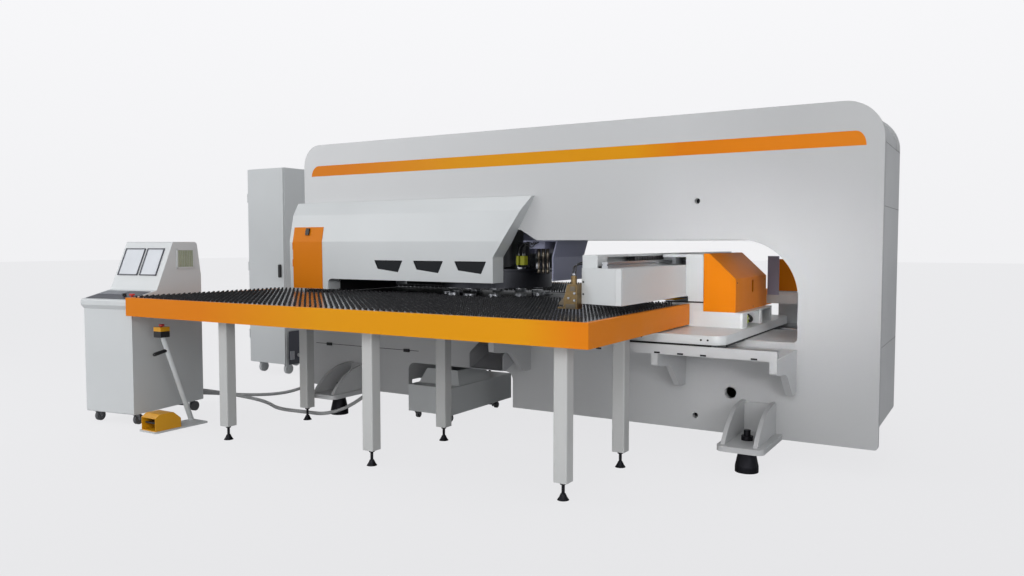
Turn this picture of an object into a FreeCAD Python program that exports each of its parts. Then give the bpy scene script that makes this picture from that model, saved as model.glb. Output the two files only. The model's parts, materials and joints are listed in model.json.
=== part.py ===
import FreeCAD, Part
import math
import os

# A turret punch press with its tables, saddle, beam, console and cabinet. All sizes are in millimetres.
# While it is built, X runs along the frame with 0 at its right end, Y runs back from the frame's front
# face and Z runs up from the floor. The finished pieces are moved so that the origin lies on the floor
# in the middle of the whole machine.

V = FreeCAD.Vector
X_AXIS, Y_AXIS, Z_AXIS = V(1, 0, 0), V(0, 1, 0), V(0, 0, 1)

# ---- driving dimensions -------------------------------------------------------------------------
# fits and gaps
RUNNING = 0.05          # radial play of a shaft in its bearing
SEAT = 0.3              # gap between a piece and the seat that carries it
CLEAR = 10.0            # gap between pieces that pass each other

# frame
LENGTH = 4471.5
DEPTH = 740.0
TOP = 2151.0
PLATE = 45.0            # front and rear plates
WEB = 30.0              # plates between them
BOTTOM = 154.0
WEB_BOTTOM = 270.0
TOP_RIGHT_RADIUS = 220.0
TOP_LEFT_RADIUS = 170.0
OUTER_RADIUS = 20.0     # lower corners
END_RECESS = 14.0       # how far the top corners of the outer web lie inside the plates
END_RECESS_BOTTOM = 1910.0
MIDDLE = DEPTH / 2      # plane in which front and back are mirrored
LEFT_END = -LENGTH      # what stands at this end keeps its distance from it

# window through the frame
WINDOW_LEFT, WINDOW_RIGHT = LEFT_END + 371.5, -455.0
WINDOW_BOTTOM, WINDOW_TOP = 745.0, 1360.0
WINDOW_RADIUS = 350.0
WINDOW_FLOOR_RADII = (40.0, 25.0)
BAY_RADIUS = 60.0
RAM_BAY_TOP = 1435.0    # the ceiling is higher over the turrets
RAM_BAY_EDGE = -2300.0
RAM_BAY_SLOPE = 65.0

# tunnel for the scrap trolley, and bores in the front plate
TUNNEL_LEFT, TUNNEL_RIGHT, TUNNEL_TOP = LEFT_END + 1091.5, -2430.0, 412.0
TUNNEL_RADIUS = 60.0
LIFTING_X, LIFTING_Z, LIFTING_RADIUS = -850.0, 410.0, 37.0
BOLT_BORES = ((-1076.0, 1604.0), (-1073.0, 244.0))
BOLT_BORE_RADIUS = 18.0

# feet of the frame
FOOT_WIDTH, FOOT_REACH, FOOT_PLATE = 270.0, 470.0, 32.0
FOOT_LEFTS = (LEFT_END + 473.5, -800.0)
FOOT_CORNER = 45.0
FOOT_RIB = 24.0
FOOT_RIB_PLACES = (32.0, 218.0)     # rib centres from the bracket's left edge
FOOT_RIB_TOP = 378.0
FOOT_RIB_LIP = 40.0     # from the bracket's front edge to the ribs
FOOT_RIB_SHOULDER, FOOT_RIB_CURVE = (285.0, 366.0), 470.0
FOOT_WEB, FOOT_WEB_TOP = 20.0, 366.0
FOOT_BOLT_REACH, FOOT_BOLT_RADIUS, FOOT_BOLT_TOP = 250.0, 20.0, 60.0
FOOT_NUT_RADIUS, FOOT_NUT_HEIGHT = 34.0, 26.0
PAD_RADIUS, PAD_NECK_RADIUS, PAD_SOLE = 68.0, 42.0, 34.0

# hood over the turrets
HOOD_LEFT, HOOD_RIGHT = LEFT_END - 33.5, -2510.0
HOOD_TOP, HOOD_BOTTOM, HOOD_LOBE_BOTTOM = 1672.0, 1055.0, 970.0
HOOD_DEPTH = 145.0
HOOD_ROOF = 40.0        # depth of the flat strip at its top
HOOD_UPPER_FOLD = (100.0, 1570.0)   # distance from the frame and height of the fold between roof and slope
HOOD_LOWER_FOLD = 1353.0
HOOD_TAPER = 5.0        # how much the front leans in towards its lower edge
HOOD_END_STEP = 185.0   # upright part of the slanted end over the lower edge
HOOD_END_KNEE = (70.0, 286.0)
HOOD_END_TOP = 260.0
HOOD_SHEET = 4.0
HOOD_LOBE_RIGHT = HOOD_LEFT + 420.0
HOOD_WINDOWS = 3
HOOD_WINDOW_PITCH = 378.0
HOOD_WINDOW_LEFT = -3598.0
DOOR_WIDTH = 325.0
DOOR_LEFT = 38.0        # from the hood's left end
DOOR_TOP_STEP = 118.0   # height of the door's bent top above the hood's lower fold
DOOR_SHEET = 3.0
DOOR_KNUCKLE, DOOR_KNUCKLE_TOPS = 60.0, (6.0, 146.0)     # lengths, and distances below the hood's fold
LATCH_WIDTH, LATCH_HEIGHT, LATCH_DEPTH = 36.0, 56.0, 14.0
LATCH_DROP = 10.0       # from the door's top edge

# turrets and ram
TURRET_X = -2800.0
TURRET_RADIUS = 430.0
STATION_RADIUS = 370.0
STATIONS = 12
PASS_LINE = 970.0
LOWER_DISC = 80.0
UPPER_DISC = 140.0
THROAT = 40.0           # from the pass line up to the upper disc
SPINDLE_RADIUS = 60.0
COLLAR_RADIUS, COLLAR = 100.0, 14.0    # flange of a spindle, let into its disc
RIM_GROOVE = 14.0
BEARING_RADIUS = 110.0
BEARING_SHELF = 6.0     # gap between a bearing and its disc
PUNCH_RADIUS = 38.0
DIE_RADIUS = 42.0
DIE_STAND = 20.0        # height of a die over its disc
RAM_RADIUS = 32.0
RAM_STROKE = 32.0
RAM_FOOT = (12.0, 22.0)             # how far it stands out and its height
RAM_HEAD_WALL, RAM_HEAD_CORNER = 32.0, 24.0
RAM_SLAB, RAM_SLAB_FRONT, RAM_SLAB_BACK = 60.0, 250.0, 230.0
GUARD_DROP = 120.0      # height of the slanted part of the guard plate
GUARD_FLARE = 35.0
GUARD_PLATE = 10.0
INDEX_MOTOR_SIDE = 170.0
INDEX_MOTOR_LENGTH = 230.0

# tables
TABLE_TOP = 950.0
APRON_HEIGHT = 131.0
APRON = 30.0
TABLE_LEFT, TABLE_RIGHT = LEFT_END - 328.5, -1132.5
TABLE_REACH = 1444.0    # from the frame's front face
WING_OVERLAP = 40.0     # how far the front table reaches into the window
DECK = 12.0
DECK_DROP = 6.0         # deck top under the apron's top
BEARER_WIDTH, BEARER_HEIGHT = 60.0, 50.0
LEG_SIDE, LEG_BOTTOM = 80.0, 96.0
LEG_XS = (TABLE_LEFT + 875.0, -2650.0, -1350.0)
LEG_ROWS = (1285.0, 545.0)   # distance of each row from the frame's front face
LEVEL_STEM, LEVEL_NECK, LEVEL_CUP = 9.0, 13.0, 32.0
LEVEL_CUP_HEIGHT, LEVEL_NECK_HEIGHT = 14.0, 20.0
LEVEL_NUT_RADIUS, LEVEL_NUT = 17.0, 14.0
LEVEL_ENGAGED = 60.0    # length of the stem inside its leg
BRUSH_PITCH = 45.0
BRUSH_WIDTH = 20.0      # of a row, along X
BRUSH_MARGIN = 12.0     # from the skirt
BRUSH_TOP = 966.0
BRUSH_BACKING = 3.0
BRUSH_RIGHT = -1180.0
CENTRE_TABLE_RIGHT = -2060.0
POST_SIDE, POST_INSET = 40.0, 60.0

# rail beds, rails and the saddle's screw
BED_LEFT, BED_RIGHT = -2320.0, -455.0
BED_TOP = 705.0
BED_PLATE = 15.0
BED_LIP_TOP = 748.0
KNEE = 40.0
KNEE_XS = (-2300.0, -1160.0, -475.0)
RAIL_OFFSET = 375.0     # rail centre from the frame's face
RAIL_WIDTH, RAIL_HEIGHT = 36.0, 34.0
BLOCK_LENGTH, BLOCK_WIDTH, BLOCK_WALL = 140.0, 84.0, 16.0
SCREW_RADIUS = 14.0
SCREW_OFFSET = 235.0
SCREW_Z = 727.0
SCREW_BEARING = 50.0
CABLE_BOX_X = (-855.0, -640.0)
CABLE_BOX_DEPTH, CABLE_BOX_TOP = 110.0, 1220.0

# saddle
SADDLE_LEFT, SADDLE_RIGHT = -1500.0, -765.0
SADDLE_REACH = 450.0
SADDLE_BOTTOM, SADDLE_DECK, SADDLE_TOP = 755.0, 808.0, 905.0
TURRET_SIDE_GAP = 10.0  # between the saddle's upright parts and the tables
TALL_LEFT, TALL_RIGHT = -1300.0, -795.0
COLUMN_RIGHT = -1050.0
BRIDGE_PLATE = 18.0
COVER_RIGHT = -840.0
COVER_SHOULDER_Z = 1116.0
COVER_SHOULDER_X = -1010.0
COVER_SHEET = 3.0
COVER_BEND = 8.0
COVER_FLANGE = 5.0      # between the column and the cover's edges
COVER_GRIP_PLACE, COVER_GRIP_WIDTH = 400.0, 32.0
COVER_GRIP_Z = (1015.0, 1100.0)
BEAM_MOTOR_LENGTH, BEAM_MOTOR_SIDE = 150.0, 110.0

# beam and clamps
BEAM_LEFT, BEAM_RIGHT = -1435.0, -1200.0
BEAM_BOTTOM, BEAM_TOP = 1000.0, 1200.0
BEAM_FRONT, BEAM_BACK = -970.0, 1710.0
BEAM_NOSE = 65.0        # slant of the front end in plan
BEAM_WALL = 12.0
CHANNEL_WIDTH, CHANNEL_TOP = 92.0, 1272.0
RACK_MODULE = 6.0
PINION_TEETH = 12
SHAFT_RADIUS = 15.0
SHAFT_END = 28.0        # how far the pinion's shaft reaches into its motor
PINION_GAP = 4.0        # between the beam and the pinion's face
RACK_WIDTH = 22.0
CLAMP_YS = (-930.0, 60.0, 1050.0)
CLAMP_WIDTH = 66.0
CLAMP_REACH = 120.0
CLAMP_TOP = 1110.0
CLAMP_CHEEK, CLAMP_JAW_PLATE, CLAMP_ROOF = 9.0, 10.0, 12.0
CLAMP_STAND = 2.0       # of the lower jaw over the pass line
CLAMP_PIVOT = (52.0, 62.0)          # back from the beam's face and up from the pass line
CLAMP_PIN_RADIUS = 6.0
CLAMP_CYLINDER = (17.0, 46.0)       # radius and height
JAW_PLAY = 1.5
JAW_OPENING = 10.0      # room for the sheet between the jaws
JAW_TIP = 12.0

# scrap chute and trolley
CHUTE_X = (-2607.0, -2327.0)
CHUTE_Z = (465.0, 653.0)
CHUTE_REACH = 300.0
BIN_X = (TUNNEL_LEFT + 77.0, TUNNEL_LEFT + 477.0)
BIN_Y = (-100.0, 760.0)
BIN_TOP = 262.0
BIN_WALL = 4.0
HOPPER_TOP = 370.0
BIN_WHEEL = 25.0
CASTER_TRAIL = 20.0
CASTER_HEAD = 8.0       # from the top of a wheel to the floor over it

# console, turned a little towards the tables
CONSOLE_CORNER = (LEFT_END - 818.5, -1455.0)
CONSOLE_TURN = 9.0
CONSOLE_WIDTH, CONSOLE_DEPTH = 470.0, 700.0
CONSOLE_DESK, CONSOLE_DESK_RISE = 925.0, 60.0
CONSOLE_TOP = 1350.0
CONSOLE_WHEEL = 38.0
STOP_TRAVEL = 6.0

# foot switch stand
STAND_X = (LEFT_END - 193.5, LEFT_END - 8.5)
STAND_Y = (-1455.0, -1010.0)
STAND_PLATE = 12.0
POLE_RADIUS = 19.0
POLE_FOOT = (STAND_X[0] + 35.0, -1041.0)
POLE_HEAD = (STAND_X[0] + 35.0, -1272.0, 668.0)
GUARD_WALL = 5.0
GUARD_LENGTH, GUARD_HEIGHT = 210.0, 118.0

# cabinet
CABINET_X = (LEFT_END - 1668.5, LEFT_END - 1158.5)
CABINET_Y = (870.0, 1470.0)
CABINET_Z = (110.0, 2100.0)
CABINET_WALL = 12.0
CABINET_WHEEL, CABINET_WHEEL_WIDTH = 51.0, 32.0
CABINET_CASTER_INSET = 75.0
CABINET_DOOR = 20.0
CABINET_KNUCKLE_RADIUS, CABINET_KNUCKLE = 6.0, 90.0
CABINET_KNUCKLES = (250.0, 950.0, 1650.0)       # heights over the cabinet's floor

# conduits on the floor
CONDUIT_RADIUS, CONDUIT_WALL = 14.0, 3.0
GLAND_RADIUS = 20.0
GLAND_LENGTH = 40.0

# ---- sizes that follow from them ----------------------------------------------------------------
BED_DEPTH = LEG_ROWS[1] - LEG_SIDE / 2 - CLEAR
COLUMN_LEFT = BEAM_RIGHT + RAIL_HEIGHT + BLOCK_WALL
BIN_FLOOR = 2 * BIN_WHEEL + CASTER_HEAD
CONSOLE_BOTTOM = 2 * CONSOLE_WHEEL + CASTER_HEAD
UPPER_BOTTOM = PASS_LINE + THROAT
UPPER_TOP = UPPER_BOTTOM + UPPER_DISC
LOWER_TOP = PASS_LINE - DIE_STAND - 2
LOWER_BOTTOM = LOWER_TOP - LOWER_DISC
PUNCH_X = TURRET_X + STATION_RADIUS
PUNCH_TOP = UPPER_TOP + 40
RAM_BOTTOM = PUNCH_TOP + RAM_STROKE + 3
APRON_BOTTOM = TABLE_TOP - APRON_HEIGHT
DECK_TOP = TABLE_TOP - DECK_DROP
DECK_BOTTOM = DECK_TOP - DECK
LEG_TOP = DECK_BOTTOM - BEARER_HEIGHT
FRONT_WING_BACK = WING_OVERLAP
TALL_FRONT = FRONT_WING_BACK + TURRET_SIDE_GAP
TALL_BACK = TALL_FRONT + 750
REAR_WING_FRONT = TALL_BACK + 2 * CLEAR
REAR_WING_BACK = 2 * MIDDLE + TABLE_REACH
BRIDGE_BOTTOM = BEAM_TOP + RAIL_HEIGHT + BLOCK_WALL
BRIDGE_TOP = BRIDGE_BOTTOM + BRIDGE_PLATE
TOP_RAIL_X = BEAM_RIGHT - 78
SIDE_RAIL_Z = BEAM_BOTTOM + 42
PITCH_RADIUS = RACK_MODULE * PINION_TEETH / 2
RACK_Z = BEAM_TOP - 52
PINION_Z = RACK_Z - RACK_MODULE - PITCH_RADIUS
PINION_Y = (TALL_FRONT + TALL_BACK) / 2
CLAMP_PIVOT_X = BEAM_LEFT - CLAMP_PIVOT[0]
CLAMP_PIVOT_Z = PASS_LINE + CLAMP_PIVOT[1]
LOWER_JAW_TOP = PASS_LINE + CLAMP_STAND + CLAMP_JAW_PLATE
JAW_BOTTOM = LOWER_JAW_TOP + JAW_OPENING
GUARD_X = (STAND_X[0] + 15, STAND_X[1] - 15)
GUARD_Y = (STAND_Y[0] + 12, STAND_Y[0] + 12 + GUARD_LENGTH)
PEDAL_HINGE = (GUARD_Y[1] - 45, STAND_PLATE + 34)


# ---- helpers ------------------------------------------------------------------------------------
def box(x, y, z):
    """Block between a lower and an upper limit on each axis."""
    return Part.makeBox(x[1] - x[0], y[1] - y[0], z[1] - z[0], V(x[0], y[0], z[0]))


def cylinder(radius, base, length, axis=Z_AXIS):
    """Round bar that starts at a base point."""
    return Part.makeCylinder(radius, length, V(*base), axis)


def ring(outer, inner, base, length, axis=Z_AXIS):
    """Round tube."""
    return cylinder(outer, base, length, axis).cut(cylinder(inner, base, length, axis))


def rod(start, end, radius):
    """Round bar between two points."""
    run = V(*end) - V(*start)
    return Part.makeCylinder(radius, run.Length, V(*start), run)


def on_plane(plane, u, v, level):
    """Point on one of the planes XY, XZ or YZ at a level along its normal."""
    places = {"XY": V(u, v, level), "XZ": V(u, level, v), "YZ": V(level, u, v)}
    return places[plane]


def contour(corners, plane, level):
    """Closed wire through corners (u, v, radius), each rounded by its radius."""
    count = len(corners)
    ends = []
    for i, (u, v, radius) in enumerate(corners):
        corner = V(u, v, 0)
        back = (V(corners[i - 1][0], corners[i - 1][1], 0) - corner).normalize()
        ahead = (V(corners[(i + 1) % count][0], corners[(i + 1) % count][1], 0) - corner).normalize()
        half = back.getAngle(ahead) / 2
        if radius == 0:
            ends.append((corner, None, corner))
            continue
        inward = (back + ahead).normalize()
        centre = corner + inward * (radius / math.sin(half))
        reach = radius / math.tan(half)
        ends.append((corner + back * reach, centre - inward * radius, corner + ahead * reach))
    edges = []
    for i, (start, middle, end) in enumerate(ends):
        points = [on_plane(plane, p.x, p.y, level) for p in (ends[i - 1][2], start)]
        if points[0].distanceToPoint(points[1]) > 1e-6:
            edges.append(Part.makeLine(*points))
        if middle is not None:
            edges.append(Part.Arc(*(on_plane(plane, p.x, p.y, level) for p in (start, middle, end))).toShape())
    return Part.Wire(edges)


def plate(corners, plane, limits):
    """Plate with an outline in one plane, between two levels along the plane's normal."""
    normal = {"XY": Z_AXIS, "XZ": Y_AXIS, "YZ": X_AXIS}[plane]
    return Part.Face(contour(corners, plane, limits[0])).extrude(normal * (limits[1] - limits[0]))


def rectangle(u, v, radius=0.0):
    """Corners of a rectangle with equal corner radii."""
    return [(u[0], v[0], radius), (u[1], v[0], radius), (u[1], v[1], radius), (u[0], v[1], radius)]


def union(shapes):
    """One solid out of touching ones."""
    return shapes[0].multiFuse(shapes[1:]).removeSplitter()


def group(shapes):
    """Several separate solids as one node."""
    return Part.makeCompound(shapes)


def mirrored(shape):
    """The same piece on the other side of the frame's middle plane."""
    return shape.mirror(V(0, MIDDLE, 0), Y_AXIS)


def knuckles(x, y, radius, bottoms, length):
    """Hinge knuckles around an upright axis."""
    return [cylinder(radius, (x, y, bottom), length) for bottom in bottoms]


def grown(limits, distance):
    """Limits moved apart by a distance at both ends."""
    return (limits[0] - distance, limits[1] + distance)


# ---- frame --------------------------------------------------------------------------------------
def frame_outline(bottom, inset):
    """Outline of the frame's plates, down to a bottom height."""
    return [
        (-LENGTH + inset, bottom, OUTER_RADIUS),
        (-inset, bottom, OUTER_RADIUS),
        (-inset, TOP - inset, TOP_RIGHT_RADIUS - inset),
        (-LENGTH + inset, TOP - inset, TOP_LEFT_RADIUS - inset),
    ]


def window_outline(grow):
    """Outline of the window, grown outwards for the web around it."""
    return [
        (WINDOW_LEFT - grow, WINDOW_BOTTOM - grow, WINDOW_FLOOR_RADII[0] + grow),
        (WINDOW_RIGHT + grow, WINDOW_BOTTOM - grow, WINDOW_FLOOR_RADII[1] + grow),
        (WINDOW_RIGHT + grow, WINDOW_TOP + grow, WINDOW_RADIUS + grow),
        (RAM_BAY_EDGE + RAM_BAY_SLOPE + grow / 2, WINDOW_TOP + grow, 0),
        (RAM_BAY_EDGE - RAM_BAY_SLOPE + grow / 2, RAM_BAY_TOP + grow, 0),
        (WINDOW_LEFT - grow, RAM_BAY_TOP + grow, BAY_RADIUS + grow),
    ]


def tunnel_outline(grow):
    """Outline of the trolley's tunnel, open at the floor."""
    return [
        (TUNNEL_LEFT - grow, -50, 0),
        (TUNNEL_RIGHT + grow, -50, 0),
        (TUNNEL_RIGHT + grow, TUNNEL_TOP + grow, TUNNEL_RADIUS + grow),
        (TUNNEL_LEFT - grow, TUNNEL_TOP + grow, TUNNEL_RADIUS + grow),
    ]


def end_recess():
    """What is missing of the outer web at the top corners, between the plates."""
    y = (PLATE, DEPTH - WEB)
    outer = plate(frame_outline(WEB_BOTTOM, 0), "XZ", y)
    kept = plate(frame_outline(WEB_BOTTOM, END_RECESS), "XZ", y)
    middle = box((-LENGTH + TOP_LEFT_RADIUS, -TOP_RIGHT_RADIUS), y, (END_RECESS_BOTTOM, TOP))
    return outer.cut(kept).common(box((-LENGTH, 0), y, (END_RECESS_BOTTOM, TOP))).cut(middle)


def foot(left):
    """Bracket that carries the frame at one of its front corners."""
    right, base_top = left + FOOT_WIDTH, BOTTOM + FOOT_PLATE
    base = plate(rectangle((left, right), (-FOOT_REACH, PLATE), FOOT_CORNER), "XY", (BOTTOM, base_top))
    profile = [
        (0, base_top, 0), (-FOOT_REACH + FOOT_RIB_LIP, base_top, 0),
        (-FOOT_RIB_SHOULDER[0], FOOT_RIB_SHOULDER[1], FOOT_RIB_CURVE), (0, FOOT_RIB_TOP, 0),
    ]
    ribs = []
    for place in FOOT_RIB_PLACES:
        x = left + place - FOOT_RIB / 2
        ribs.append(plate(profile, "YZ", (x, x + FOOT_RIB)))
    web = box([left + place for place in FOOT_RIB_PLACES], (-FOOT_WEB, 0), (base_top, FOOT_WEB_TOP))
    hole = cylinder(FOOT_BOLT_RADIUS + SEAT, foot_bolt_place(left), FOOT_RIB_TOP)
    return union([base, web] + ribs).cut(hole)


def foot_bolt_place(left):
    """Where the levelling bolt of a bracket meets the floor."""
    return (left + sum(FOOT_RIB_PLACES) / 2, -FOOT_BOLT_REACH, 0)


def foot_pad(left):
    """Round levelling pad with its bolt and nut under one bracket."""
    x, y, _ = foot_bolt_place(left)
    sole = cylinder(PAD_RADIUS, (x, y, 0), PAD_SOLE)
    neck = Part.makeCone(PAD_RADIUS, PAD_NECK_RADIUS, BOTTOM - PAD_SOLE, V(x, y, PAD_SOLE))
    bolt = cylinder(FOOT_BOLT_RADIUS, (x, y, BOTTOM), FOOT_PLATE + FOOT_BOLT_TOP)
    nut = cylinder(FOOT_NUT_RADIUS, (x, y, BOTTOM + FOOT_PLATE), FOOT_NUT_HEIGHT)
    return union([sole, neck, bolt, nut])


def frame():
    """Two thick plates with webs between them around the outside, the window and the tunnel."""
    inside = (PLATE, DEPTH - PLATE)
    front = plate(frame_outline(BOTTOM, 0), "XZ", (0, PLATE))
    block = plate(frame_outline(WEB_BOTTOM, 0), "XZ", (PLATE, DEPTH))
    hollow = plate(frame_outline(WEB_BOTTOM + WEB, WEB), "XZ", inside)
    window_wall = plate(window_outline(WEB), "XZ", inside)
    tunnel_wall = plate(tunnel_outline(WEB), "XZ", inside).common(box((-LENGTH, 0), inside, (WEB_BOTTOM, TOP)))
    body = union([front, block.cut(hollow).cut(end_recess()), window_wall, tunnel_wall])
    through = grown((0, DEPTH), 10)
    body = body.cut(plate(window_outline(0), "XZ", through)).cut(plate(tunnel_outline(0), "XZ", through))
    bores = [cylinder(LIFTING_RADIUS, (LIFTING_X, -10, LIFTING_Z), PLATE + 10, Y_AXIS)]
    for x, z in BOLT_BORES:
        bores.append(cylinder(BOLT_BORE_RADIUS, (x, -10, z), PLATE + 10, Y_AXIS))
    for base, top in ((WINDOW_BOTTOM - WEB - 1, WINDOW_BOTTOM), (RAM_BAY_TOP, RAM_BAY_TOP + WEB + 1)):
        bores.append(cylinder(SPINDLE_RADIUS + 1, (TURRET_X, MIDDLE, base), top - base))
    for bore in bores:
        body = body.cut(bore)
    feet = [foot(left) for left in FOOT_LEFTS]
    glands = [gland("conduit_1", "end"), gland("conduit_2", "end"), gland("conduit_3", "end")]
    return union([body] + feet + [mirrored(piece) for piece in feet] + glands)


def frame_pads():
    pads = [foot_pad(left) for left in FOOT_LEFTS]
    return group(pads + [mirrored(pad) for pad in pads])


# ---- hoods --------------------------------------------------------------------------------------
def hood_section(inset, bottom):
    """Cross-section of a hood in Y and Z, drawn in from its skin."""
    return [
        (0, HOOD_TOP - inset, 0),
        (-HOOD_ROOF + inset / 2, HOOD_TOP - inset, 14),
        (-HOOD_UPPER_FOLD[0] + inset, HOOD_UPPER_FOLD[1], 20),
        (-HOOD_DEPTH + inset, HOOD_LOWER_FOLD, 40),
        (-HOOD_DEPTH + HOOD_TAPER + inset, bottom, 0),
        (0, bottom, 0),
    ]


def hood_side(inset, bottom, lobe_bottom):
    """Side outline of a hood in X and Z, with a lower lobe at its left end and a slanted right end."""
    return [
        (HOOD_LEFT + inset, HOOD_TOP, 0),
        (HOOD_LEFT + inset, lobe_bottom, 0),
        (HOOD_LOBE_RIGHT - inset, lobe_bottom, 0),
        (HOOD_LOBE_RIGHT - inset, bottom, 0 if inset else 40),
        (HOOD_RIGHT - inset, bottom, 0),
        (HOOD_RIGHT - inset, HOOD_BOTTOM + HOOD_END_STEP, 30),
        (HOOD_RIGHT + HOOD_END_KNEE[0] - inset, HOOD_BOTTOM + HOOD_END_KNEE[1], 60),
        (HOOD_RIGHT + HOOD_END_TOP - inset, HOOD_TOP, 0),
    ]


def hood_shell():
    """Bent sheet hood, open below and towards the frame."""
    span = (HOOD_LEFT - 10, HOOD_RIGHT + 400)
    depth = (-HOOD_DEPTH - 10, 10)
    skin = plate(hood_section(0, HOOD_LOBE_BOTTOM), "YZ", span)
    skin = skin.common(plate(hood_side(0, HOOD_BOTTOM, HOOD_LOBE_BOTTOM), "XZ", depth))
    room = plate(hood_section(HOOD_SHEET, HOOD_LOBE_BOTTOM - 50), "YZ", span)
    side = hood_side(HOOD_SHEET, HOOD_BOTTOM - 20, HOOD_LOBE_BOTTOM - 20)
    return skin.cut(room.common(plate(side, "XZ", depth)))


def front_hood():
    shell = hood_shell()
    top = HOOD_BOTTOM + 154
    for i in range(HOOD_WINDOWS):
        left = HOOD_WINDOW_LEFT + i * HOOD_WINDOW_PITCH
        hole = [(left, top, 4), (left + 278, top, 4), (left + 233, top - 90, 4), (left + 32, top - 67, 4)]
        shell = shell.cut(plate(hole, "XZ", (-HOOD_DEPTH - 10, -HOOD_DEPTH / 2)))
    return shell


def rear_hood():
    return mirrored(hood_shell())


def door_section(inset):
    """Section of the access door, which lies on the hood's front and follows its bend."""
    low, high = HOOD_LOBE_BOTTOM + 2, HOOD_LOWER_FOLD + DOOR_TOP_STEP
    lean = (HOOD_DEPTH - HOOD_UPPER_FOLD[0]) * DOOR_TOP_STEP / (HOOD_UPPER_FOLD[1] - HOOD_LOWER_FOLD)
    return [
        (-HOOD_DEPTH + HOOD_TAPER - SEAT - inset, low, 0),
        (-HOOD_DEPTH - SEAT - inset, HOOD_LOWER_FOLD, 40),
        (-HOOD_DEPTH + lean - 2 * SEAT - inset, high, 0),
    ]


def access_door():
    """Bent sheet door with a latch at its top edge, where it leans back."""
    outer, inner = door_section(DOOR_SHEET), door_section(0)
    left = HOOD_LEFT + DOOR_LEFT
    sheet = plate(outer + inner[::-1], "YZ", (left, left + DOOR_WIDTH))
    slope = (outer[2][0] - outer[1][0]) / (outer[2][1] - outer[1][1])
    top = outer[2][1] - LATCH_DROP
    top_y = outer[2][0] - slope * LATCH_DROP
    foot_y = top_y - slope * LATCH_HEIGHT
    section = [
        (top_y, top, 0), (foot_y, top - LATCH_HEIGHT, 0),
        (foot_y - LATCH_DEPTH, top - LATCH_HEIGHT, 3), (top_y - LATCH_DEPTH, top, 3),
    ]
    middle = left + DOOR_WIDTH / 2
    latch = plate(section, "YZ", (middle - LATCH_WIDTH / 2, middle + LATCH_WIDTH / 2))
    bottoms = [HOOD_LOWER_FOLD - drop - DOOR_KNUCKLE for drop in DOOR_KNUCKLE_TOPS]
    hinge = knuckles(left, outer[1][0], DOOR_SHEET, bottoms, DOOR_KNUCKLE)
    return union([sheet, latch] + hinge)


# ---- turrets and ram ----------------------------------------------------------------------------
def stations(radius, bottom, height):
    """One round bar per tool station."""
    bars = []
    for i in range(STATIONS):
        angle = 2 * math.pi * i / STATIONS
        x = TURRET_X + STATION_RADIUS * math.cos(angle)
        y = MIDDLE + STATION_RADIUS * math.sin(angle)
        bars.append(cylinder(radius, (x, y, bottom), height))
    return bars


def turret(bottom, top, bore, spindle, flange):
    """Tool disc with its station bores, bolted to the flange of its spindle."""
    disc = cylinder(TURRET_RADIUS, (TURRET_X, MIDDLE, bottom), top - bottom)
    rim = ring(TURRET_RADIUS + 1, TURRET_RADIUS - RIM_GROOVE, (TURRET_X, MIDDLE, top - 2 * RIM_GROOVE), RIM_GROOVE)
    hub = cylinder(SPINDLE_RADIUS + SEAT, (TURRET_X, MIDDLE, bottom - 1), top - bottom + 2)
    collar = cylinder(COLLAR_RADIUS, (TURRET_X, MIDDLE, flange), COLLAR)
    seat = cylinder(COLLAR_RADIUS + SEAT, (TURRET_X, MIDDLE, flange), COLLAR)
    disc = disc.cut(rim).cut(hub).cut(seat).cut(group(stations(bore, bottom - 1, top - bottom + 2)))
    shaft = cylinder(SPINDLE_RADIUS, (TURRET_X, MIDDLE, spindle[0]), spindle[1] - spindle[0])
    return group([disc, union([shaft, collar])])


def upper_turret():
    return turret(UPPER_BOTTOM, UPPER_TOP, PUNCH_RADIUS, (UPPER_BOTTOM, RAM_BAY_TOP + WEB - SEAT), UPPER_BOTTOM)


def lower_turret():
    return turret(LOWER_BOTTOM, LOWER_TOP, DIE_RADIUS, (WINDOW_BOTTOM - WEB + SEAT, LOWER_TOP), LOWER_TOP - COLLAR)


def punches():
    """A punch assembly in each upper station, hanging by its head."""
    shanks = stations(PUNCH_RADIUS - SEAT, UPPER_BOTTOM - 8, UPPER_TOP - UPPER_BOTTOM + 8)
    heads = stations(PUNCH_RADIUS + 5, UPPER_TOP, PUNCH_TOP - UPPER_TOP)
    return group([union([shank, head]) for shank, head in zip(shanks, heads)])


def dies():
    """A die in each lower station, seated on a flange."""
    bodies = stations(DIE_RADIUS - SEAT, LOWER_TOP - 50, 50)
    flanges = stations(DIE_RADIUS + 5, LOWER_TOP, DIE_STAND)
    holes = stations(14, LOWER_TOP - 60, 100)
    return group([union([body, flange]).cut(hole) for body, flange, hole in zip(bodies, flanges, holes)])


def turret_bearings():
    """Flanged bearing housings, one under the bay's ceiling and one on the window's floor."""
    bore = SPINDLE_RADIUS + RUNNING
    upper_bottom = UPPER_TOP + BEARING_SHELF
    lower_top = LOWER_BOTTOM - BEARING_SHELF
    upper = ring(BEARING_RADIUS, bore, (TURRET_X, MIDDLE, upper_bottom), RAM_BAY_TOP - upper_bottom)
    upper_flange = ring(BEARING_RADIUS + 45, bore, (TURRET_X, MIDDLE, RAM_BAY_TOP - 28), 28)
    lower = ring(BEARING_RADIUS, bore, (TURRET_X, MIDDLE, WINDOW_BOTTOM), lower_top - WINDOW_BOTTOM)
    lower_flange = ring(BEARING_RADIUS + 45, bore, (TURRET_X, MIDDLE, WINDOW_BOTTOM), 28)
    return group([union([upper, upper_flange]), union([lower, lower_flange])])


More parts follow.
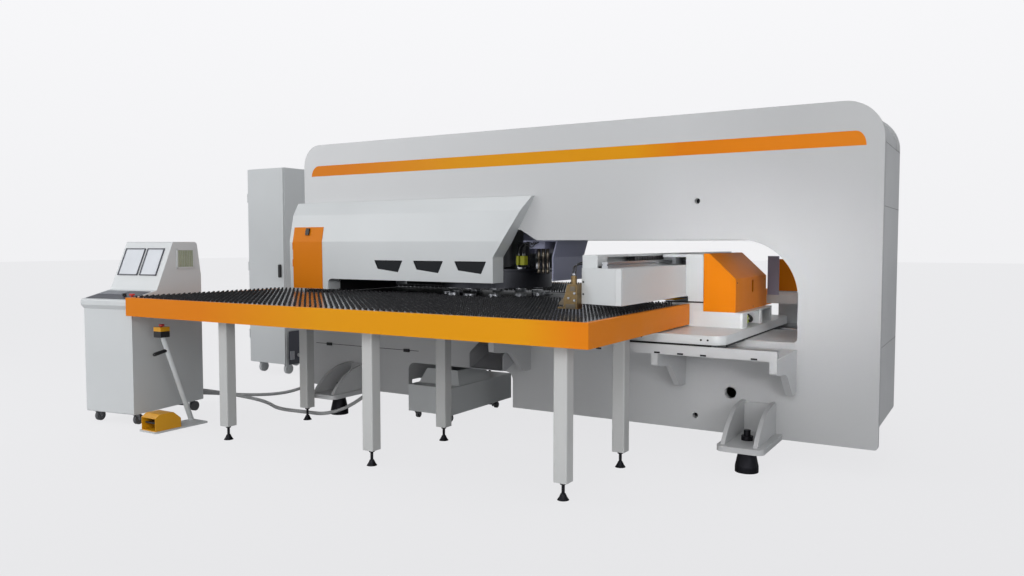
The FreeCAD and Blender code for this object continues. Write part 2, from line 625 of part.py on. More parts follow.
def index_motor(base, direction):
    """Geared motor inside the frame, in line with a spindle."""
    flange_z = min(base, base + direction * 20)
    flange = cylinder(105, (TURRET_X, MIDDLE, flange_z), 20)
    side = (-INDEX_MOTOR_SIDE / 2, INDEX_MOTOR_SIDE / 2)
    start = base + direction * 20
    limits = sorted((start, start + direction * INDEX_MOTOR_LENGTH))
    x = (TURRET_X + side[0], TURRET_X + side[1])
    body = plate(rectangle(x, (MIDDLE + side[0], MIDDLE + side[1]), 20), "XY", limits)
    return union([flange, body])


def motors():
    """The two index motors and the saddle's motor."""
    return group([index_motor(RAM_BAY_TOP + WEB, 1), index_motor(WINDOW_BOTTOM - WEB, -1), saddle_motor()])


def ram_housing():
    """Cast ram head under the bay's ceiling with a bent guard plate on its right."""
    half = RAM_RADIUS + RAM_HEAD_WALL
    bottom = PUNCH_TOP + RAM_STROKE + RAM_FOOT[1] + 2 * CLEAR
    outline = rectangle((PUNCH_X - half, PUNCH_X + half), (MIDDLE - 2 * half, MIDDLE + 2 * half), RAM_HEAD_CORNER)
    head = plate(outline, "XY", (bottom, RAM_BAY_TOP))
    bore = cylinder(RAM_RADIUS + RUNNING, (PUNCH_X, MIDDLE, bottom - 1), RAM_BAY_TOP - bottom - CLEAR)
    slab_right = RAM_BAY_EDGE + RAM_BAY_SLOPE
    slab_y = (MIDDLE - RAM_SLAB_FRONT, MIDDLE + RAM_SLAB_BACK)
    slab = box((PUNCH_X + RAM_RADIUS / 2, slab_right), slab_y, (WINDOW_TOP - RAM_SLAB, WINDOW_TOP))
    outer, top, bottom_edge = slab_right + RAM_BAY_SLOPE + CLEAR, WINDOW_TOP, PASS_LINE + 100
    inner = outer - GUARD_PLATE
    bend = [
        (slab_right, top, 0), (outer + GUARD_FLARE, top, 0), (outer, top - GUARD_DROP, 10), (outer, bottom_edge, 0),
        (inner, bottom_edge, 0), (inner, top - GUARD_DROP + 2, 0), (inner + GUARD_FLARE - 3, top - GUARD_PLATE, 0),
        (slab_right, top - GUARD_PLATE, 0),
    ]
    guard = plate(bend, "XZ", (slab_y[0] - CLEAR, slab_y[1]))
    return union([head.cut(bore), slab.cut(bore), guard])


def ram_striker():
    """Round ram with a wider striking foot."""
    step, height = RAM_FOOT
    shaft = cylinder(RAM_RADIUS, (PUNCH_X, MIDDLE, RAM_BOTTOM + height), RAM_BAY_TOP - RAM_BOTTOM - 60)
    striking_foot = cylinder(RAM_RADIUS + step, (PUNCH_X, MIDDLE, RAM_BOTTOM), height)
    return union([shaft, striking_foot])


# ---- tables -------------------------------------------------------------------------------------
def front_wing(inset, limits):
    """Front table outline drawn in from its edges, with a step around the frame's left column."""
    left, right = TABLE_LEFT + inset, TABLE_RIGHT - inset
    step = WINDOW_LEFT + CLEAR + inset
    outline = [
        (left, -TABLE_REACH + inset, 0), (right, -TABLE_REACH + inset, 0), (right, FRONT_WING_BACK, 0),
        (step, FRONT_WING_BACK, 0), (step, -CLEAR, 0), (left, -CLEAR, 0),
    ]
    bay = cylinder(TURRET_RADIUS + CLEAR, (TURRET_X, MIDDLE, limits[0] - 1), limits[1] - limits[0] + 2)
    return plate(outline, "XY", limits).cut(bay)


def rear_wing(inset, limits):
    """Rear table outline drawn in from its edges."""
    x = (TABLE_LEFT + inset, TABLE_RIGHT - inset)
    return box(x, (REAR_WING_FRONT, REAR_WING_BACK - inset), limits)


def table_aprons():
    """Skirts around three sides of each table."""
    height = (APRON_BOTTOM, TABLE_TOP)
    x = (TABLE_LEFT + APRON, TABLE_RIGHT - APRON)
    front = box((TABLE_LEFT, TABLE_RIGHT), (-TABLE_REACH, FRONT_WING_BACK), height)
    front = front.cut(box(x, (-TABLE_REACH + APRON, 2 * TABLE_REACH), grown(height, 1)))
    column = (TABLE_LEFT - 1, WINDOW_LEFT + CLEAR)
    front = front.cut(box(column, (-CLEAR, 2 * TABLE_REACH), grown(height, 1)))
    rear = box((TABLE_LEFT, TABLE_RIGHT), (REAR_WING_FRONT, REAR_WING_BACK), height)
    rear = rear.cut(box(x, (-TABLE_REACH, REAR_WING_BACK - APRON), grown(height, 1)))
    return group([front, rear])


def bearer(x, y):
    """Cross tube under a deck."""
    half = BEARER_WIDTH / 2
    return box((x - half, x + half), y, (LEG_TOP, DECK_BOTTOM))


def frame_bracket(y):
    """Bracket that ties a deck to the frame's left column."""
    return box((WINDOW_LEFT - 200, WINDOW_LEFT - 80), y, (LEG_TOP, DECK_BOTTOM))


def table_decks():
    """Black table plates on cross tubes."""
    deck = (DECK_BOTTOM, DECK_TOP)
    front = [front_wing(APRON, deck), frame_bracket((-CLEAR - 60, 0))]
    rear = [rear_wing(APRON, deck), frame_bracket((DEPTH, REAR_WING_FRONT + 60))]
    for x in LEG_XS:
        front.append(bearer(x, (-TABLE_REACH + APRON, -FRONT_WING_BACK - 60)))
        rear.append(bearer(x, (REAR_WING_FRONT + 20, REAR_WING_BACK - APRON)))
    return group([union(front), union(rear)])


def ridge_field(outline):
    """Rows of brush drawn as diagonal ridges, kept to an outline."""
    bounds = outline.BoundBox
    reach = bounds.YLength
    corners = [(0, 0, 0), (BRUSH_WIDTH, 0, 0), (BRUSH_WIDTH - reach, reach, 0), (-reach, reach, 0)]
    row = plate(corners, "XY", (bounds.ZMin, bounds.ZMax))
    count = int((bounds.XLength + reach) / BRUSH_PITCH)
    rows = [row.translated(V(bounds.XMin + i * BRUSH_PITCH, bounds.YMin, 0)) for i in range(count + 1)]
    return group(rows).common(outline)


def brush_mat(outline_of, x_right):
    """Thin backing with the brush rows on it."""
    backing_top = DECK_TOP + BRUSH_BACKING
    margin = APRON + BRUSH_MARGIN
    keep = box((TABLE_LEFT, x_right), (-TABLE_REACH, REAR_WING_BACK), (DECK_TOP, BRUSH_TOP))
    backing = outline_of(margin, (DECK_TOP, backing_top)).common(keep)
    rows = ridge_field(outline_of(margin, (backing_top, BRUSH_TOP)).common(keep))
    return union([backing] + rows.Solids)


def brush_mats():
    return group([brush_mat(front_wing, BRUSH_RIGHT), brush_mat(rear_wing, BRUSH_RIGHT)])


def leg_places():
    """Plan positions of all the table legs."""
    places = []
    for x in LEG_XS:
        for row in LEG_ROWS:
            places.append((x, -row))
            places.append((x, 2 * MIDDLE + row))
    return places


def table_legs():
    half = LEG_SIDE / 2
    legs = []
    for x, y in leg_places():
        outline = rectangle((x - half, x + half), (y - half, y + half), 8)
        leg = plate(outline, "XY", (LEG_BOTTOM, LEG_TOP))
        hole = cylinder(LEVEL_STEM + SEAT, (x, y, LEG_BOTTOM - 1), 61)
        legs.append(leg.cut(hole))
    return group(legs)


def levelling_feet():
    """Threaded stem, nut and cup under each leg."""
    feet = []
    cup_top = LEVEL_CUP_HEIGHT
    neck_top = cup_top + LEVEL_NECK_HEIGHT
    for x, y in leg_places():
        cup = Part.makeCone(LEVEL_CUP, LEVEL_CUP * 0.7, LEVEL_CUP_HEIGHT, V(x, y, 0))
        neck = Part.makeCone(LEVEL_CUP * 0.7, LEVEL_NECK, LEVEL_NECK_HEIGHT, V(x, y, cup_top))
        stem = cylinder(LEVEL_STEM, (x, y, neck_top), LEG_BOTTOM + LEVEL_ENGAGED - neck_top - SEAT)
        nut = cylinder(LEVEL_NUT_RADIUS, (x, y, LEG_BOTTOM - LEVEL_NUT), LEVEL_NUT)
        feet.append(union([cup, neck, stem, nut]))
    return group(feet)


def centre_table():
    """Table between the wings, cut out around the turrets and standing on the window's floor."""
    x = (WINDOW_LEFT + CLEAR, CENTRE_TABLE_RIGHT)
    y = (FRONT_WING_BACK + CLEAR, REAR_WING_FRONT - CLEAR)
    deck = box(x, y, (DECK_BOTTOM, DECK_TOP))
    bay = cylinder(TURRET_RADIUS + CLEAR, (TURRET_X, MIDDLE, DECK_BOTTOM - 1), DECK + 2)
    pieces = [deck.cut(bay)]
    beside = TURRET_RADIUS + POST_INSET
    half = POST_SIDE / 2
    for post_x in (x[0] + POST_INSET, TURRET_X - beside, TURRET_X + beside):
        for post_y in (PLATE + POST_INSET, DEPTH - PLATE - POST_INSET):
            post = ((post_x - half, post_x + half), (post_y - half, post_y + half))
            pieces.append(box(post[0], post[1], (WINDOW_BOTTOM, DECK_BOTTOM)))
    return group(union(pieces).Solids)


# ---- rail beds ----------------------------------------------------------------------------------
def knee(x):
    """Cast knee under a rail bed, hollowed along its underside."""
    top = BED_TOP - BED_PLATE
    profile = [
        (0, top, 0), (-BED_DEPTH, top, 0), (-BED_DEPTH, top - 70, 12), (-BED_DEPTH + 70, top - 84, 20),
        (-BED_DEPTH * 0.52, top - 96, 120), (-95, top - 250, 40), (0, top - 250, 0),
    ]
    return plate(profile, "YZ", (x - KNEE / 2, x + KNEE / 2))


def rail_bed():
    """Front bed for one of the saddle's rails, with a raised lip along its outer edge."""
    x = (BED_LEFT, BED_RIGHT)
    top_plate = box(x, (-BED_DEPTH, 0), (BED_TOP - BED_PLATE, BED_TOP))
    lip = box(x, (-BED_DEPTH, -BED_DEPTH + 12), (BED_TOP, BED_LIP_TOP))
    return union([top_plate, lip] + [knee(knee_x) for knee_x in KNEE_XS])


def screw_y():
    return 2 * MIDDLE + SCREW_OFFSET


def screw_bearing(x):
    """Pillow block that carries one end of the screw on the rear bed."""
    half = 34
    y = (screw_y() - half, screw_y() + half)
    block = box((x, x + SCREW_BEARING), y, (BED_TOP, SCREW_Z + 24))
    return block.cut(cylinder(SCREW_RADIUS + RUNNING, (x - 1, screw_y(), SCREW_Z), SCREW_BEARING + 2, X_AXIS))


def rail_beds():
    rear = union([mirrored(rail_bed()), screw_bearing(BED_LEFT), screw_bearing(BED_RIGHT - SCREW_BEARING)])
    return group([rail_bed(), rear])


def rail(length):
    """Guide rail along X on the plane z = 0, waisted at both sides."""
    half = RAIL_WIDTH / 2
    profile = [
        (-half, 0, 0), (half, 0, 0), (half, RAIL_HEIGHT * 0.35, 0), (half - 7, RAIL_HEIGHT * 0.55, 0),
        (half, RAIL_HEIGHT * 0.75, 0), (half, RAIL_HEIGHT, 0), (-half, RAIL_HEIGHT, 0),
        (-half, RAIL_HEIGHT * 0.75, 0), (-half + 7, RAIL_HEIGHT * 0.55, 0), (-half, RAIL_HEIGHT * 0.35, 0),
    ]
    return plate(profile, "YZ", (0, length))


def guide_block():
    """Bearing block around such a rail, centred on x = 0."""
    half = BLOCK_WIDTH / 2
    lift = 6
    block = box((-BLOCK_LENGTH / 2, BLOCK_LENGTH / 2), (-half, half), (lift, RAIL_HEIGHT + BLOCK_WALL))
    gap = RAIL_WIDTH / 2 + 1
    slot = box((-BLOCK_LENGTH, BLOCK_LENGTH), (-gap, gap), (-1, RAIL_HEIGHT + SEAT))
    return block.cut(slot)


def along_y(shape):
    """Turned from X to Y."""
    return shape.rotated(V(0, 0, 0), Z_AXIS, 90)


def on_its_side(shape):
    """Turned from X to Y, with its top towards +X."""
    return along_y(shape).rotated(V(0, 0, 0), Y_AXIS, 90)


def saddle_rails():
    length = BED_RIGHT - BED_LEFT - 2 * 20
    front = rail(length).translated(V(BED_LEFT + 20, -RAIL_OFFSET, BED_TOP))
    return group([front, mirrored(front)])


def saddle_screw():
    """Ball screw along the rear bed, driven at its right end."""
    length = BED_RIGHT - BED_LEFT + 20
    return cylinder(SCREW_RADIUS, (BED_LEFT, screw_y(), SCREW_Z), length, X_AXIS)


def motor_along_x(x, length, y, z, side):
    """Square motor with a flange at its left end."""
    half = side / 2
    flange = box((x, x + 12), (y - half, y + half), (z - half, z + half))
    body = plate(rectangle((y - half + 6, y + half - 6), (z - half + 6, z + half - 6), 14), "YZ", (x + 12, x + length))
    return union([flange, body])


def saddle_motor():
    """Servo motor with a coupling housing at the screw's right end."""
    start = BED_RIGHT
    motor = motor_along_x(start, 240, screw_y(), SCREW_Z, 120)
    return motor.cut(cylinder(SCREW_RADIUS + SEAT, (start - 1, screw_y(), SCREW_Z), 30, X_AXIS))


# ---- saddle -------------------------------------------------------------------------------------
def block_xs():
    """Middle of the saddle's guide blocks along X."""
    return (SADDLE_LEFT + BLOCK_LENGTH / 2 + 30, SADDLE_RIGHT - BLOCK_LENGTH / 2 - 60)


def beam_block_ys():
    """Middle of the beam's guide blocks along Y."""
    return (TALL_FRONT + BLOCK_LENGTH / 2 + 15, TALL_BACK - BLOCK_LENGTH / 2 - 15)


def saddle_base():
    """Low casting that reaches over both rails."""
    back = 2 * MIDDLE + SADDLE_REACH
    low = [
        (SADDLE_LEFT, -SADDLE_REACH, 12), (SADDLE_RIGHT, -SADDLE_REACH, 70),
        (SADDLE_RIGHT, back, 70), (SADDLE_LEFT, back, 12),
    ]
    return plate(low, "XY", (SADDLE_BOTTOM, SADDLE_DECK))


def saddle_tower():
    """Box under the beam, open on its right side, and the column that carries the bridge."""
    y = (TALL_FRONT, TALL_BACK)
    tall = plate(rectangle((TALL_LEFT, TALL_RIGHT), y, 18), "XY", (SADDLE_DECK, SADDLE_TOP))
    room = box((COLUMN_RIGHT, TALL_RIGHT + 1), (y[0] + 110, y[0] + 420), (SADDLE_DECK, SADDLE_TOP - 12))
    second = box((COLUMN_RIGHT, TALL_RIGHT + 1), (y[0] + 480, y[1] - 60), (SADDLE_DECK, SADDLE_TOP - 12))
    column = box((COLUMN_LEFT, COLUMN_RIGHT), (y[0] + 10, y[1] - 10), (SADDLE_TOP, BRIDGE_BOTTOM))
    bridge_left = TOP_RAIL_X - BLOCK_WIDTH / 2 - 6
    bridge = plate(rectangle((bridge_left, COLUMN_RIGHT), (y[0] + 5, y[1] - 5), 14), "XY", (BRIDGE_BOTTOM, BRIDGE_TOP))
    return union([tall.cut(room).cut(second), column, bridge])


def saddle_nut():
    """Nut housing that hangs over the screw, behind the frame."""
    x = (SADDLE_LEFT + 330, SADDLE_LEFT + 410)
    half = 32
    nut = box(x, (screw_y() - half, screw_y() + half), (SCREW_Z - 20, SADDLE_BOTTOM))
    return nut.cut(cylinder(SCREW_RADIUS + RUNNING, (x[0] - 1, screw_y(), SCREW_Z), 90, X_AXIS))


def saddle():
    body = union([saddle_base(), saddle_tower(), saddle_nut()])
    shaft = cylinder(SHAFT_RADIUS + RUNNING, (COLUMN_LEFT - 1, PINION_Y, PINION_Z), 200, X_AXIS)
    return body.cut(shaft)


def guide_blocks():
    """Blocks under the saddle on both rails, and blocks for the beam's top and side rails."""
    blocks = []
    for x in block_xs():
        front = guide_block().translated(V(x, -RAIL_OFFSET, BED_TOP))
        blocks += [front, mirrored(front)]
    for y in beam_block_ys():
        blocks.append(along_y(guide_block()).translated(V(TOP_RAIL_X, y, BEAM_TOP)))
        blocks.append(on_its_side(guide_block()).translated(V(BEAM_RIGHT, y, SIDE_RAIL_Z)))
    return group(blocks)


def cover_section(inset):
    """Section of the drive cover in X and Z, drawn in from its skin."""
    left = COLUMN_RIGHT + COVER_FLANGE
    top = BRIDGE_TOP + 2 * COVER_SHEET - inset
    return [
        (left, SADDLE_TOP, 0), (COVER_RIGHT - inset, SADDLE_TOP, 0),
        (COVER_RIGHT - inset, COVER_SHOULDER_Z - inset / 2, COVER_BEND),
        (COVER_SHOULDER_X - inset / 2, top, COVER_BEND), (left, top, 0),
    ]


def drive_cover():
    """Bent sheet cover over the beam's drive, with a grip hole in its right side."""
    skin = plate(cover_section(0), "XZ", (TALL_FRONT, TALL_BACK))
    room = plate(cover_section(COVER_SHEET), "XZ", (TALL_FRONT + COVER_SHEET, TALL_BACK - COVER_SHEET))
    grip_y = TALL_FRONT + COVER_GRIP_PLACE
    half = COVER_GRIP_WIDTH / 2
    outline = rectangle((grip_y - half, grip_y + half), COVER_GRIP_Z, half - RUNNING)
    grip = plate(outline, "YZ", grown((COVER_RIGHT, COVER_RIGHT), CLEAR))
    return skin.cut(room).cut(grip)


def beam_motor():
    """Geared motor under the drive cover, with its output on the column."""
    start = COLUMN_RIGHT
    motor = motor_along_x(start, BEAM_MOTOR_LENGTH, PINION_Y, PINION_Z, BEAM_MOTOR_SIDE)
    width = (PINION_Y - 0.36 * BEAM_MOTOR_SIDE, PINION_Y + 0.36 * BEAM_MOTOR_SIDE)
    stand = box((start + 12, start + BEAM_MOTOR_LENGTH - 20), width, (SADDLE_TOP, PINION_Z - 0.45 * BEAM_MOTOR_SIDE))
    socket = cylinder(SHAFT_RADIUS + SEAT, (start - 1, PINION_Y, PINION_Z), SHAFT_END + 3, X_AXIS)
    return union([motor, stand]).cut(socket)


def gear_outline(teeth, module):
    """Corners of a straight-sided spur gear."""
    pitch = module * teeth / 2
    corners = []
    for i in range(teeth):
        for radius, turn in ((pitch - 1.2 * module, -0.36), (pitch + 0.8 * module, -0.12), (pitch + 0.8 * module, 0.12),
                             (pitch - 1.2 * module, 0.36)):
            angle = 2 * math.pi * (i + turn) / teeth
            corners.append((radius * math.cos(angle), radius * math.sin(angle), 0))
    return corners


def beam_pinion():
    """Pinion and shaft through the column."""
    left = BEAM_RIGHT + PINION_GAP
    corners = [(PINION_Y + u, PINION_Z + v, r) for u, v, r in gear_outline(PINION_TEETH, RACK_MODULE)]
    gear = plate(corners, "YZ", (left, BEAM_RIGHT + RACK_WIDTH))
    shaft = cylinder(SHAFT_RADIUS, (left, PINION_Y, PINION_Z), COLUMN_RIGHT + SHAFT_END - left, X_AXIS)
    return union([gear, shaft])


def cable_box():
    """Junction box that stands on the edge of the rear rail bed, behind the saddle."""
    y = DEPTH + BED_DEPTH
    outline = rectangle(CABLE_BOX_X, (y, y + CABLE_BOX_DEPTH), 10)
    return plate(outline, "XY", (BED_TOP - BED_PLATE, CABLE_BOX_TOP))


# ---- beam and clamps ----------------------------------------------------------------------------
def beam():
    """Hollow box beam with a slanted front end and a cable channel along its top."""
    outline = [
        (BEAM_LEFT, BEAM_FRONT + BEAM_NOSE, 0), (BEAM_RIGHT, BEAM_FRONT, 0),
        (BEAM_RIGHT, BEAM_BACK, 0), (BEAM_LEFT, BEAM_BACK, 0),
    ]
    body = plate(outline, "XY", (BEAM_BOTTOM, BEAM_TOP))
    wall = BEAM_WALL
    room = box((BEAM_LEFT + wall, BEAM_RIGHT - wall), (BEAM_FRONT + BEAM_NOSE + wall, BEAM_BACK - wall),
               (BEAM_BOTTOM + wall, BEAM_TOP - wall))
    channel_y = (BEAM_FRONT + BEAM_NOSE + 10, BEAM_BACK - 20)
    channel = box((BEAM_LEFT, BEAM_LEFT + CHANNEL_WIDTH), channel_y, (BEAM_TOP, CHANNEL_TOP))
    inner = box((BEAM_LEFT + 4, BEAM_LEFT + CHANNEL_WIDTH - 4), (channel_y[0] + 130, channel_y[1] + 1),
                (BEAM_TOP, CHANNEL_TOP - 4))
    slot = box((BEAM_LEFT + CHANNEL_WIDTH / 2, BEAM_LEFT + CHANNEL_WIDTH + 1), (channel_y[0] + 130, channel_y[1] - 130),
               (BEAM_TOP + 12, CHANNEL_TOP - 12))
    return union([body.cut(room), channel.cut(inner).cut(slot)])


def beam_rails():
    length = BEAM_BACK - BEAM_FRONT - 2 * 30
    start = BEAM_FRONT + 30
    top = along_y(rail(length)).translated(V(TOP_RAIL_X, start, BEAM_TOP))
    side = on_its_side(rail(length)).translated(V(BEAM_RIGHT, start, SIDE_RAIL_Z))
    return group([top, side])


def beam_rack():
    """Toothed rack on the beam's right side, with its teeth down."""
    pitch = math.pi * RACK_MODULE
    length = BEAM_BACK - BEAM_FRONT - 2 * 40
    count = int(length / pitch)
    start = PINION_Y - int((PINION_Y - BEAM_FRONT - 40) / pitch) * pitch
    root, tip = RACK_Z, RACK_Z - 2 * RACK_MODULE
    corners = [(start - pitch / 2, RACK_Z + 16, 0), (start - pitch / 2, root, 0)]
    for i in range(count):
        gap = start + i * pitch
        corners += [(gap + pitch * 0.14, root, 0), (gap + pitch * 0.38, tip, 0),
                    (gap + pitch * 0.62, tip, 0), (gap + pitch * 0.86, root, 0)]
    end = start + count * pitch
    corners += [(end, root, 0), (end, RACK_Z + 16, 0)]
    return plate(corners, "YZ", (BEAM_RIGHT, BEAM_RIGHT + RACK_WIDTH))


def clamp_body(y):
    """Fixed lower jaw with two cheeks around the lever and an air cylinder on top."""
    half = CLAMP_WIDTH / 2
    back, bottom = BEAM_LEFT, PASS_LINE + CLAMP_STAND
    front = CLAMP_PIVOT_X - 32
    cheek = [
        (back, bottom, 0), (back, CLAMP_TOP, 8), (CLAMP_PIVOT_X - 10, CLAMP_TOP, 14),
        (front, CLAMP_PIVOT_Z - 10, 10), (front, bottom, 0),
    ]
    pieces = []
    for start in (y - half, y + half - CLAMP_CHEEK):
        pieces.append(plate(cheek, "XZ", (start, start + CLAMP_CHEEK)))
    width = (y - half, y + half)
    pieces.append(box((back - CLAMP_REACH, back), width, (bottom, LOWER_JAW_TOP)))
    pieces.append(box((back - CLAMP_ROOF, back), width, (bottom, CLAMP_TOP)))
    pieces.append(box((CLAMP_PIVOT_X - 8, back), width, (CLAMP_TOP - CLAMP_ROOF, CLAMP_TOP)))
    radius, height = CLAMP_CYLINDER
    pieces.append(cylinder(radius, (back - 2 * radius - 2, y, CLAMP_TOP), height))
    pieces.append(cylinder(CLAMP_PIN_RADIUS, (CLAMP_PIVOT_X, y - half, CLAMP_PIVOT_Z), CLAMP_WIDTH, Y_AXIS))
    return union(pieces)


def clamp_bodies():
    return group([clamp_body(y) for y in CLAMP_YS])


def clamp_jaw(y):
    """Upper jaw, a lever on the clamp's pin."""
    half = CLAMP_WIDTH / 2 - CLAMP_CHEEK - JAW_PLAY
    tip = BEAM_LEFT - CLAMP_REACH
    profile = [
        (tip, JAW_BOTTOM, 2), (tip, JAW_BOTTOM + JAW_TIP, 6), (CLAMP_PIVOT_X - 26, CLAMP_PIVOT_Z + 14, 14),
        (CLAMP_PIVOT_X + 22, CLAMP_PIVOT_Z + 18, 10), (CLAMP_PIVOT_X + 26, CLAMP_PIVOT_Z - 12, 10),
        (CLAMP_PIVOT_X - 20, JAW_BOTTOM, 10),
    ]
    lever = plate(profile, "XZ", (y - half, y + half))
    bore = cylinder(CLAMP_PIN_RADIUS + RUNNING, (CLAMP_PIVOT_X, y - CLAMP_WIDTH, CLAMP_PIVOT_Z), 2 * CLAMP_WIDTH, Y_AXIS)
    return lever.cut(bore)


# ---- scrap chute and trolley --------------------------------------------------------------------
def scrap_chute():
    """Sloping sheet chute on the frame's front, open at its top and in front."""
    wall = 5
    side = [
        (0, CHUTE_Z[1], 0), (-CHUTE_REACH * 0.45, CHUTE_Z[1], 20), (-CHUTE_REACH, CHUTE_Z[0] + 110, 30),
        (-CHUTE_REACH, CHUTE_Z[0], 0), (-CHUTE_REACH + 40, CHUTE_Z[0], 20), (0, CHUTE_Z[1] - 90, 0),
    ]
    body = plate(side, "YZ", CHUTE_X)
    room = [
        (10, CHUTE_Z[1] - wall, 0), (-CHUTE_REACH * 0.45, CHUTE_Z[1] - wall, 20),
        (-CHUTE_REACH - 10, CHUTE_Z[0] + 112, 0), (-CHUTE_REACH - 10, CHUTE_Z[0] + wall, 0),
        (-CHUTE_REACH + 38, CHUTE_Z[0] + wall, 20), (10, CHUTE_Z[1] - 84, 0),
    ]
    hollow = plate(room, "YZ", (CHUTE_X[0] + wall, CHUTE_X[1] - wall))
    return body.cut(hollow)


def trolley_bin():
    """Open sheet bin on casters with a hopper rim over its middle."""
    low = box(BIN_X, BIN_Y, (BIN_FLOOR, BIN_TOP))
    hopper_x, hopper_y = (BIN_X[0] + 12, BIN_X[1] - 12), (BIN_Y[0] + 120, BIN_Y[0] + 570)

    def rim(inset, low_z, high_z, draw):
        """Tapered block for the hopper."""
        bottom = contour(rectangle(grown(hopper_x, -inset), grown(hopper_y, -inset)), "XY", low_z)
        top = contour(rectangle(grown(hopper_x, -inset - draw), grown(hopper_y, -inset - draw)), "XY", high_z)
        return Part.makeLoft([bottom, top], True)

    hopper = rim(0, BIN_TOP, HOPPER_TOP, 45)
    room = box(grown(BIN_X, -BIN_WALL), grown(BIN_Y, -BIN_WALL), (BIN_FLOOR + BIN_WALL, BIN_TOP - BIN_WALL))
    mouth = rim(BIN_WALL, BIN_TOP - BIN_WALL, HOPPER_TOP + 1, 45)
    shell = union([low, hopper]).cut(room).cut(mouth)
    return union([shell] + axle_brackets((BIN_X[0] + 60, BIN_X[1] - 66), bin_axle_y(), BIN_WHEEL, BIN_FLOOR))


def bin_axle_y():
    return BIN_Y[1] - 180


def wheel_pair(x, y, radius, width):
    """Two wheels on one axle along X."""
    wheels = []
    for end, shift in ((x[0], 0), (x[1], -width)):
        wheels.append(cylinder(radius, (end + shift, y, radius), width, X_AXIS))
    axle = cylinder(6, (x[0], y, radius), x[1] - x[0], X_AXIS)
    return union(wheels + [axle])


def trolley_axle_wheels():
    return wheel_pair((BIN_X[0] + 22, BIN_X[1] - 22), bin_axle_y(), BIN_WHEEL, 22)


def axle_brackets(lefts, y, wheel_radius, top):
    """Sheet brackets that carry a fixed axle under a floor."""
    brackets = []
    for x in lefts:
        cheek = box((x, x + 6), (y - 16, y + 16), (wheel_radius - 14, top))
        brackets.append(cheek.cut(cylinder(6 + RUNNING, (x - 1, y, wheel_radius), 8, X_AXIS)))
    return brackets


def caster_fork(x, y, wheel_radius, width):
    """Swivel fork with its axle, trailing towards +Y."""
    gap = 2
    cheek = 3
    top = 2 * wheel_radius + CASTER_HEAD
    half = width / 2 + gap + cheek
    axle_y = y + CASTER_TRAIL
    head = cylinder(half, (x, y, top - 5), 5 - SEAT)
    pieces = [head]
    for side in (-half, half - cheek):
        profile = [
            (y - 12, top - 5 + 0.5, 0), (y - 12, top - 8, 0), (axle_y - 8, wheel_radius - 8, 6),
            (axle_y + 8, wheel_radius - 8, 6), (y + 14, top - 5 + 0.5, 0),
        ]
        pieces.append(plate(profile, "YZ", (x + side, x + side + cheek)))
    pieces.append(box((x - half, x + half), (y - 12, y + 12), (top - 6, top - 4)))
    pieces.append(cylinder(4, (x - half, axle_y, wheel_radius), 2 * half, X_AXIS))
    return union(pieces)


def caster_wheel(x, y, radius, width):
    """Wheel of a swivel caster."""
    start = (x - width / 2, y + CASTER_TRAIL, radius)
    return ring(radius, 4 + RUNNING, start, width, X_AXIS)


def trolley_casters():
    """Plan positions of the trolley's swivels."""
    return [(BIN_X[0] + 50, BIN_Y[0] + 40), (BIN_X[1] - 50, BIN_Y[0] + 40)]


# ---- console ------------------------------------------------------------------------------------
def in_console(shape):
    """Moves a piece from the console's own corner to where the console stands."""
    turned = shape.rotated(V(0, 0, 0), Z_AXIS, CONSOLE_TURN)
    return turned.translated(V(CONSOLE_CORNER[0], CONSOLE_CORNER[1], 0))


def console_body():
    """Desk-shaped cabinet with a raised screen housing at the back."""
    width = (0, CONSOLE_WIDTH)
    head_front = CONSOLE_DEPTH * 0.40
    side = [
        (0, CONSOLE_BOTTOM, 10), (0, CONSOLE_DESK - 70, 10), (-28, CONSOLE_DESK - 40, 10), (-28, CONSOLE_DESK, 10),
        (head_front - 40, CONSOLE_DESK + CONSOLE_DESK_RISE, 8), (head_front - 20, CONSOLE_DESK + 100, 8),
        (head_front + 130, CONSOLE_TOP, 14), (CONSOLE_DEPTH - 40, CONSOLE_TOP, 30),
        (CONSOLE_DEPTH, CONSOLE_DESK + 160, 30), (CONSOLE_DEPTH, CONSOLE_BOTTOM, 10),
    ]
    body = plate(side, "YZ", width)
    stop = cylinder(9 + SEAT, (*stop_place(), CONSOLE_DESK - 60), 200)
    knob = cylinder(5 + RUNNING, (*knob_place(), CONSOLE_DESK - 60), 200)
    brackets = axle_brackets((60, CONSOLE_WIDTH - 66), console_axle_y(), CONSOLE_WHEEL, CONSOLE_BOTTOM)
    standing = in_console(union([body.cut(stop).cut(knob)] + brackets))
    return union([standing, gland("conduit_1", "start"), gland("conduit_2", "start")])


def desk_height(y):
    """Height of the sloping desk at a distance behind its front edge."""
    return CONSOLE_DESK + CONSOLE_DESK_RISE * (y + 28) / (CONSOLE_DEPTH * 0.40 - 12)


def stop_place():
    return (CONSOLE_WIDTH - 55, 60)


def knob_place():
    return (CONSOLE_WIDTH - 130, 60)


def push_button(x, y, z, radius, stem, travel):
    """Mushroom button whose stem sits in its panel."""
    cap = cylinder(radius, (x, y, z + travel), 12)
    neck = cylinder(stem, (x, y, z - 30), 31 + travel)
    return union([cap.makeFillet(4, [cap.Edges[0]]), neck])


def console_stop():
    x, y = stop_place()
    return in_console(push_button(x, y, desk_height(y + 20), 20, 9, STOP_TRAVEL + 2))


def console_knob():
    """Selector knob with a grip bar."""
    x, y = knob_place()
    z = desk_height(y + 16) + 2
    skirt = cylinder(15, (x, y, z), 8)
    grip = box((x - 4, x + 4), (y - 14, y + 14), (z + 8, z + 20))
    stem = cylinder(5, (x, y, z - 30), 31)
    return in_console(union([skirt, grip, stem]))


